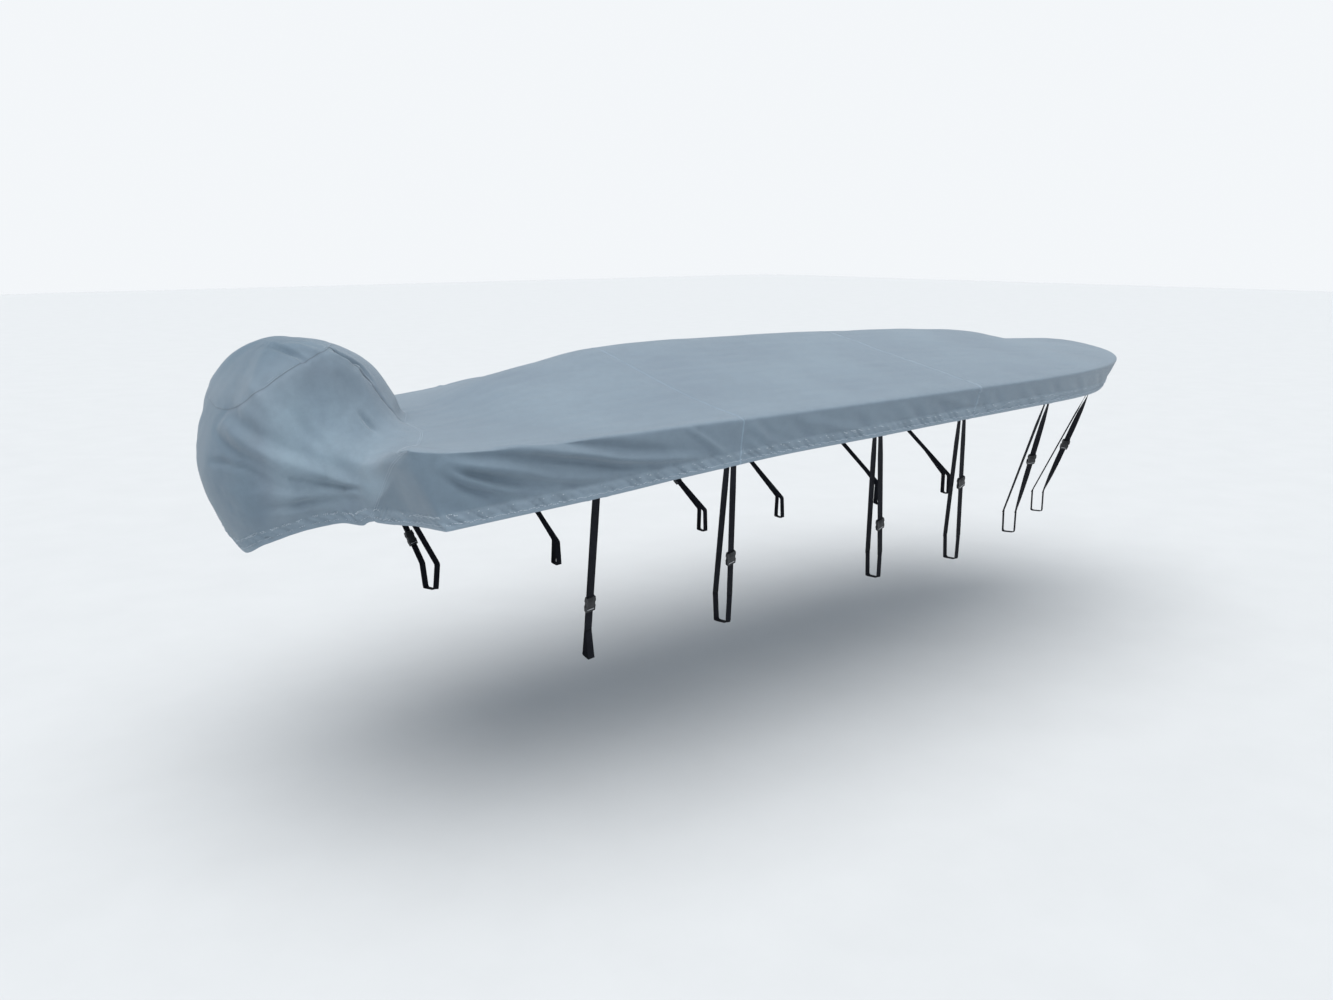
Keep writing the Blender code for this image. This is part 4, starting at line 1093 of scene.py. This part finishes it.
def block(body, low, high, bevelled=True):
    """A box between two corners in the buckle's own axes."""
    made = bmesh.ops.create_cube(body, size=1.0)["verts"]
    for v in made:
        v.co = Vector([lerp(low[n], high[n], v.co[n] + 0.5) for n in range(3)])
    if bevelled:
        edges = list({e for v in made for e in v.link_edges})
        bmesh.ops.bevel(body, geom=edges, offset=0.0009, segments=2, profile=0.7,
                        affect="EDGES", clamp_overlap=True)


def plate(body, low, high):
    """A plate with the buckle's outline between two depths, its outer face drawn in."""
    outline = [(row.half + PLATE_GROW, row.along) for row in BUCKLE]
    outline += [(-row.half - PLATE_GROW, row.along) for row in reversed(BUCKLE)]
    bottom = body.faces.new([body.verts.new((w, a, low)) for w, a in outline])
    grown = bmesh.ops.extrude_face_region(body, geom=[bottom])["geom"]
    raised = [v for v in grown if isinstance(v, bmesh.types.BMVert)]
    bmesh.ops.translate(body, verts=raised, vec=(0.0, 0.0, high - low))
    outer = [f for f in grown if isinstance(f, bmesh.types.BMFace)] if high > 0 else [bottom]
    bmesh.ops.inset_region(body, faces=outer, thickness=0.0038, depth=0.0)
    bmesh.ops.translate(body, verts=list({v for f in outer for v in f.verts}),
                        vec=(0.0, 0.0, -0.0011 if high > 0 else 0.0011))


def buckle_piece(name, node, frame_of, plastic, steel):
    """A moulded side-release buckle round the strap, with its steel adjusting bar."""
    centre, across, down = frame_of
    deep = 0.5 * BUCKLE_DEPTH
    turn = Matrix((across, down, across.cross(down))).transposed().to_4x4()
    turn.translation = centre
    body = bmesh.new()
    plate(body, PLATE_INSIDE, deep)
    plate(body, -deep, -PLATE_INSIDE)
    for sign in (-1, 1):
        for start, end in ((-0.028, -0.006), (0.006, 0.028)):
            block(body, (sign * 0.0134 - 0.0004, start, -0.0016),
                  (sign * 0.0134 + 0.0022 * sign, end, 0.0016), False)
    for sign in (-1, 1):
        flat = (deep - 0.0013) * sign
        for half, start, length, height in BUCKLE_RELIEF:
            low, high = sorted((flat, flat + height * sign))
            block(body, (-half, start, low), (half, start + length, high))
    mesh = mesh_of(body, name, False)
    mesh.transform(turn)
    made = put(name, mesh, plastic)
    edge = made.modifiers.new("edge", "BEVEL")
    edge.width = 0.0007
    edge.segments = 2
    edge.limit_method = "ANGLE"
    edge.angle_limit = math.radians(40)
    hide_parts(node)
    bar = bmesh.new()
    for sign in (-1, 1):
        flat = sign * (deep - 0.0006)
        block(bar, (-0.0125, 0.0185, flat - 0.0008), (0.0125, 0.0212, flat + 0.0008))
    mesh = mesh_of(bar, name + "_bar")
    mesh.transform(turn)
    return [made, put(name + "_bar", mesh, steel)]


def straps(webbing, plastic, steel):
    """All the tie-downs with their buckles."""
    bpy.context.view_layer.update()
    ready = bpy.context.evaluated_depsgraph_get()
    trees = [BVHTree.FromObject(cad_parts[PANEL_NAMES[panel]], ready)
             for panel in (AFT, MIDDLE, BOW)]
    for side, word in ((-1, "starboard"), (1, "port")):
        for number, row in enumerate(STRAPS, 1):
            label = word + "_" + str(number)
            rows, top_count = strap_rows(trees, row, side)
            rows = square_to_path(rows)
            fine = fine_rows(rows, top_count)
            piece = ribbon("webbing_" + label, fine, webbing)
            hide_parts("strap_" + label)
            on_it = buckle_piece("clip_" + label, "buckle_" + label,
                                 buckle_frame(rows, top_count, row), plastic, steel)


# -------------------------------- materials
class Nodes:
    """The nodes of a material or a world, with short calls to add them."""

    def __init__(self, owner):
        owner.use_nodes = True
        self.owner = owner
        self.tree = owner.node_tree

    def give(self, target, inputs):
        """Link outputs to a node's inputs, or set the inputs' own values."""
        for key, value in dict(inputs).items():
            if isinstance(value, bpy.types.NodeSocket):
                self.tree.links.new(value, target.inputs[key])
            else:
                target.inputs[key].default_value = value

    def add(self, kind, inputs=(), **settings):
        made = self.tree.nodes.new("ShaderNode" + kind)
        for key, value in settings.items():
            setattr(made, key, value)
        self.give(made, inputs)
        return made.outputs

    def maths(self, operation, *values, clamp=False):
        return self.add("Math", enumerate(values), operation=operation, use_clamp=clamp)[0]

    def attribute(self, name, output="Fac"):
        return self.add("Attribute", attribute_name=name)[output]

    def object_place(self):
        return self.add("TexCoord")["Object"]

    def noise(self, place, scale, detail, roughness):
        return self.add("TexNoise", {"Vector": place, "Scale": scale, "Detail": detail,
                                     "Roughness": roughness})["Fac"]

    def ramp(self, value, *stops):
        """Colours along value; a stop is a position and a grey or three values."""
        tone = self.add("ValToRGB", {0: value})[0]
        marks = tone.node.color_ramp.elements
        for mark, (position, colour) in zip(marks, (stops[0], stops[-1])):
            mark.position = position
            mark.color = rgba(colour)
        for position, colour in stops[1:-1]:
            marks.new(position).color = rgba(colour)
        return tone

    def mix(self, share, a, b, blend="MIX"):
        return self.add("Mix", {0: share, 6: a, 7: b}, data_type="RGBA", blend_type=blend)[2]

    def times(self, a, b):
        return self.mix(1.0, a, b, "MULTIPLY")

    def turns(self, *pitches):
        """Angles of threads that lie across and along the cloth at these pitches."""
        split = self.add("SeparateXYZ", {0: self.attribute("weave", "Vector")})
        return [self.maths("MULTIPLY", split[n], 2 * math.pi / pitch)
                for n, pitch in enumerate(pitches)]

    def finish(self, inputs, height, strength, distance):
        """Give the shader its inputs and a bump, and return the material."""
        shader = self.tree.nodes["Principled BSDF"]
        bump = self.add("Bump", {"Strength": strength, "Distance": distance, "Height": height})
        self.give(shader, {**inputs, "Normal": bump[0]})
        return self.owner


def rgba(colour):
    return (colour,) * 3 + (1.0,) if isinstance(colour, float) else (*colour, 1.0)


def cloth_material(tint):
    """Coated woven polyester: weave, dye variation, hem and seams, with painted light and shade:
    lighter and darker patches, a painted highlight on raised cloth and painted shade in its folds, a
    lighter hem band and a shade line along the hood's seams.
    """
    made = Nodes(bpy.data.materials.new("cover_cloth"))
    place = made.object_place()
    broad = made.noise(place, 2.3, 4.0, 0.55)
    fine = made.noise(place, 38.0, 5.0, 0.6)
    grain = made.noise(place, 620.0, 2.0, 0.5)
    # Painted highlight on raised cloth and painted shade in its hollows, from the height of the small
    # relief.
    painted_relief_light = made.maths("MULTIPLY_ADD", made.attribute("wear"), 55.0, 0.5)
    # Share of painted light and shade carried by the cloth's points.
    painted_light_share = made.maths("MULTIPLY_ADD", made.attribute("fade"), 0.5, 0.5)
    colour = made.ramp(broad, (0.30, tint[0]), (0.70, tint[1]))
    for value, *stops in ((fine, (0.30, 0.94), (0.72, 1.05)),
                          (grain, (0.25, (0.93, 0.93, 0.94)), (0.75, (1.06, 1.06, 1.05))),
                          (painted_relief_light, (0.25, (0.90, 0.90, 0.92)), (0.5, 1.0), (0.75, (1.06, 1.06, 1.05)))):
        colour = made.times(colour, made.ramp(value, *stops))
    # Painted light: the hem band is made lighter, as if it caught more light.
    past = made.maths("MULTIPLY", made.attribute("hem"), 1.0 / 0.047)
    band = made.maths("SUBTRACT", 1.0, past, clamp=True)
    band = made.maths("MULTIPLY", band, 5.0, clamp=True)
    lighter = rgba([min(1.0, c * 1.45) for c in tint[1]])
    colour = made.mix(made.maths("MULTIPLY", band, 0.34), colour, lighter)
    # Painted light and shade: lighter patches on the hood, bluish painted shade on its back and on the
    # upright skirt.
    colour = made.times(colour, made.ramp(painted_light_share, (0.0, (0.62, 0.72, 0.77)), (0.5, 1.0),
                                          (1.0, (1.48, 1.50, 1.46))))
    # A narrow painted shade line along the hood's seams; the deck seams get a lighter line for their
    # light thread.
    for label, width, tone in (("dark_seam", 0.0030, 0.66), ("light_seam", 0.0036, 1.38)):
        share = made.maths("MULTIPLY", made.attribute(label), 1.0 / width)
        colour = made.times(colour, made.ramp(share, (0.35, tone), (1.0, 1.0)))
    warp, weft = [made.maths("SINE", turn) for turn in made.turns(0.0011, 0.0011)]
    height = made.maths("ADD", made.maths("MULTIPLY", warp, weft), made.maths("MULTIPLY", fine, 1.4))
    return made.finish({"Base Color": colour, "Roughness": made.maths("MULTIPLY_ADD", fine, 0.22, 0.55),
                        "Sheen Weight": 0.22, "Sheen Roughness": 0.45, "Specular IOR Level": 0.35},
                       height, 0.35, 0.0004)


def webbing_material():
    """Black polypropylene webbing with its ribs and selvedges."""
    made = Nodes(bpy.data.materials.new("strap_webbing"))
    across, along = made.turns(0.0021, 0.0017)
    ribs = made.maths("SINE", made.maths("ADD", along, made.maths("SINE", across)))
    place = made.object_place()
    fuzz = made.noise(place, 420.0, 3.0, 0.6)
    base = made.ramp(made.noise(place, 14.0, 3.0, 0.5),
                     (0.3, (0.0045, 0.0052, 0.0085)), (0.7, (0.0085, 0.0098, 0.0150)))
    light = made.ramp(made.maths("MULTIPLY_ADD", ribs, 0.25, fuzz),
                      (0.2, (0.70, 0.70, 0.72)), (0.8, (1.35, 1.35, 1.38)))
    return made.finish({"Base Color": made.times(base, light), "Roughness": 0.82,
                        "Specular IOR Level": 0.14, "Sheen Weight": 0.02,
                        "Sheen Roughness": 0.4}, ribs, 0.6, 0.0005)


def speckled_material(name, dark, light, scale, rough, metallic=0.0, depth=0.0002):
    """Moulded plastic, steel or thread: fine noise in colour, gloss and height."""
    made = Nodes(bpy.data.materials.new(name))
    fine = made.noise(made.object_place(), scale, 4.0, 0.6)
    return made.finish({"Base Color": made.ramp(fine, (0.3, dark), (0.7, light)),
                        "Roughness": made.maths("MULTIPLY_ADD", fine, rough[1] - rough[0], rough[0]),
                        "Metallic": metallic}, fine, 0.3, depth)


# -------------------------------- stitching
def stitches(name, rows, trees, finish, pitch=0.0062, length=0.0044, thick=0.0007):
    """Small threads laid along rows of points, each on the nearest cloth."""
    body = bmesh.new()
    for row in rows:
        gone = 0.0
        for a, b in zip(row, row[1:]):
            step = b - a
            size = step.length
            if size < 1e-6:
                continue
            while gone < size:
                spot = a + step * (gone / size)
                gone += pitch
                hits = [tree.find_nearest(spot, 0.012) for tree in trees]
                hits = [hit for hit in hits if hit[0] is not None]
                if not hits:
                    continue
                point, normal, _, _ = min(hits, key=lambda hit: hit[3])
                along = (step - normal * step.dot(normal)).normalized()
                across = normal.cross(along)
                base = point + normal * 0.0001
                tips = []
                for u, w, h in STITCH_TIPS:
                    lift = h * thick - (STITCH_SUNK if abs(u) == 0.5 else 0.0)
                    tips.append(body.verts.new(base + along * (u * length)
                                               + across * (w * thick * 0.6) + normal * lift))
                for ring in STITCH_FACES:
                    body.faces.new([tips[n] for n in ring])
            gone -= size
    return put(name, mesh_of(body, name), finish)


def offset_rows(cloth, run, near, gaps):
    """A run of the cloth's vertices moved sideways, to the faces near them, by each of gaps."""
    points = [Vector(cloth.points[v]) for v in run]
    rows = [[] for _ in gaps]
    for k, (v, point) in enumerate(zip(run, points)):
        middle = np.mean([cloth.points[face].mean(axis=0) for face in near[v]], axis=0)
        way = points[min(k + 2, len(run) - 1)] - points[max(k - 2, 0)]
        aside = Vector(cloth.normals[v]).cross(way).normalized()
        if aside.dot(Vector(middle) - point) < 0:
            aside = -aside
        for row, gap in zip(rows, gaps):
            row.append(point + aside * gap)
    return rows


def sewing(cloth, sheets, thread):
    """Double topstitching on the seams and along the top of the hem, by panel."""
    ready = bpy.context.evaluated_depsgraph_get()
    trees = {panel: BVHTree.FromObject(sheets[panel], ready) for panel in sheets}
    near = {}
    for face, panel in zip(cloth.faces, cloth.panel):
        for v in face:
            near.setdefault(v, {}).setdefault(int(panel), []).append(face)
    made = {}
    for panels, pairs in cloth.seams.items():
        upper = max(panels, key=LAP_ORDER.get)
        of_upper = {v: faces.get(upper) or [[v]] for v, faces in near.items()}
        rows = []
        for run in chains(pairs):
            if len(run) >= 6:
                rows += offset_rows(cloth, run, of_upper, SEAM_STITCHES)
        name = "stitches_" + "_".join(PANEL_NAMES[p] for p in panels)
        made.setdefault(upper, []).append(stitches(name, rows, [trees[upper]], thread))
    of_any = {v: sum(faces.values(), []) for v, faces in near.items()}
    rows = []
    for run in chains(cloth.hem_edges):
        rows += offset_rows(cloth, run, of_any, HEM_STITCHES)
    made.setdefault(AFT, []).append(stitches("stitches_hem", rows, list(trees.values()), thread,
                                             thick=0.0017))
    return made


# -------------------------------- surroundings
def aim(made, way):
    """Put a lamp or the camera in the scene, looking along way."""
    made.rotation_euler = way.to_track_quat("-Z", "Y").to_euler()
    bpy.context.scene.collection.objects.link(made)


def surroundings():
    """Floor, light and sky."""
    corners = [(x, y, FLOOR_Z) for x, y in ((-40.0, -40.0), (40.0, -40.0), (40.0, 40.0), (-40.0, 40.0))]
    mesh = bpy.data.meshes.new("floor")
    mesh.from_pydata(corners, [], [(0, 1, 2, 3)])
    floor = bpy.data.objects.new("floor", mesh)
    bpy.context.scene.collection.objects.link(floor)
    tones = [tuple(c + shift for c in FLOOR_TONE) for shift in (-0.01, 0.01)]
    mesh.materials.append(speckled_material("floor_paint", *tones, 3.0, (0.8, 0.9), 0.0, 0.0001))
    world = bpy.data.worlds.new("studio")
    bpy.context.scene.world = world
    made = Nodes(world)
    height = made.add("SeparateXYZ", {0: made.add("TexCoord")["Generated"]})[2]
    sky = made.ramp(height, (0.0, HORIZON_LIGHT), (0.20, HORIZON_LIGHT), (0.45, SKY_LIGHT))
    made.give(world.node_tree.nodes["Background"], {"Color": sky, "Strength": 1.0})
    lamp = bpy.data.lights.new("key", "SUN")
    lamp.angle = math.radians(SUN_SPREAD)
    lamp.energy = SUN_STRENGTH
    lamp.color = SUN_TINT
    aim(bpy.data.objects.new("key", lamp), -Vector(SUN))
    bpy.context.scene.view_settings.view_transform = "Standard"


def camera():
    lens = bpy.data.cameras.new("camera")
    lens.sensor_width = 36.0
    lens.lens = LENS
    lens.clip_end = 200.0
    holder = bpy.data.objects.new("camera", lens)
    holder.location = CAMERA_AT
    heading, pitch = math.radians(CAMERA_HEADING), math.radians(CAMERA_PITCH)
    way = Vector((math.cos(heading), math.sin(heading), 0.0)) * math.cos(pitch)
    aim(holder, way + Vector((0, 0, -math.sin(pitch))))
    bpy.context.scene.camera = holder


# -------------------------------- the scene
camera()
webbing = webbing_material()
plastic = speckled_material("buckle_plastic", (0.010, 0.011, 0.013), (0.018, 0.019, 0.022), 900.0,
                            (0.32, 0.50))
steel = speckled_material("buckle_steel", (0.45, 0.46, 0.48), (0.62, 0.63, 0.65), 700.0,
                          (0.22, 0.40), 1.0)
thread = speckled_material("sewing_thread", (0.46, 0.53, 0.60), (0.66, 0.74, 0.82), 800.0,
                           (0.55, 0.75))
straps(webbing, plastic, steel)
cloth = shape_cloth()
cover = cloth_material(CLOTH_TINT)
sheets = {panel: cloth_panel(cloth, panel, cover) for panel in FLAT}
bpy.context.view_layer.update()
threads = sewing(cloth, sheets, thread)
surroundings()
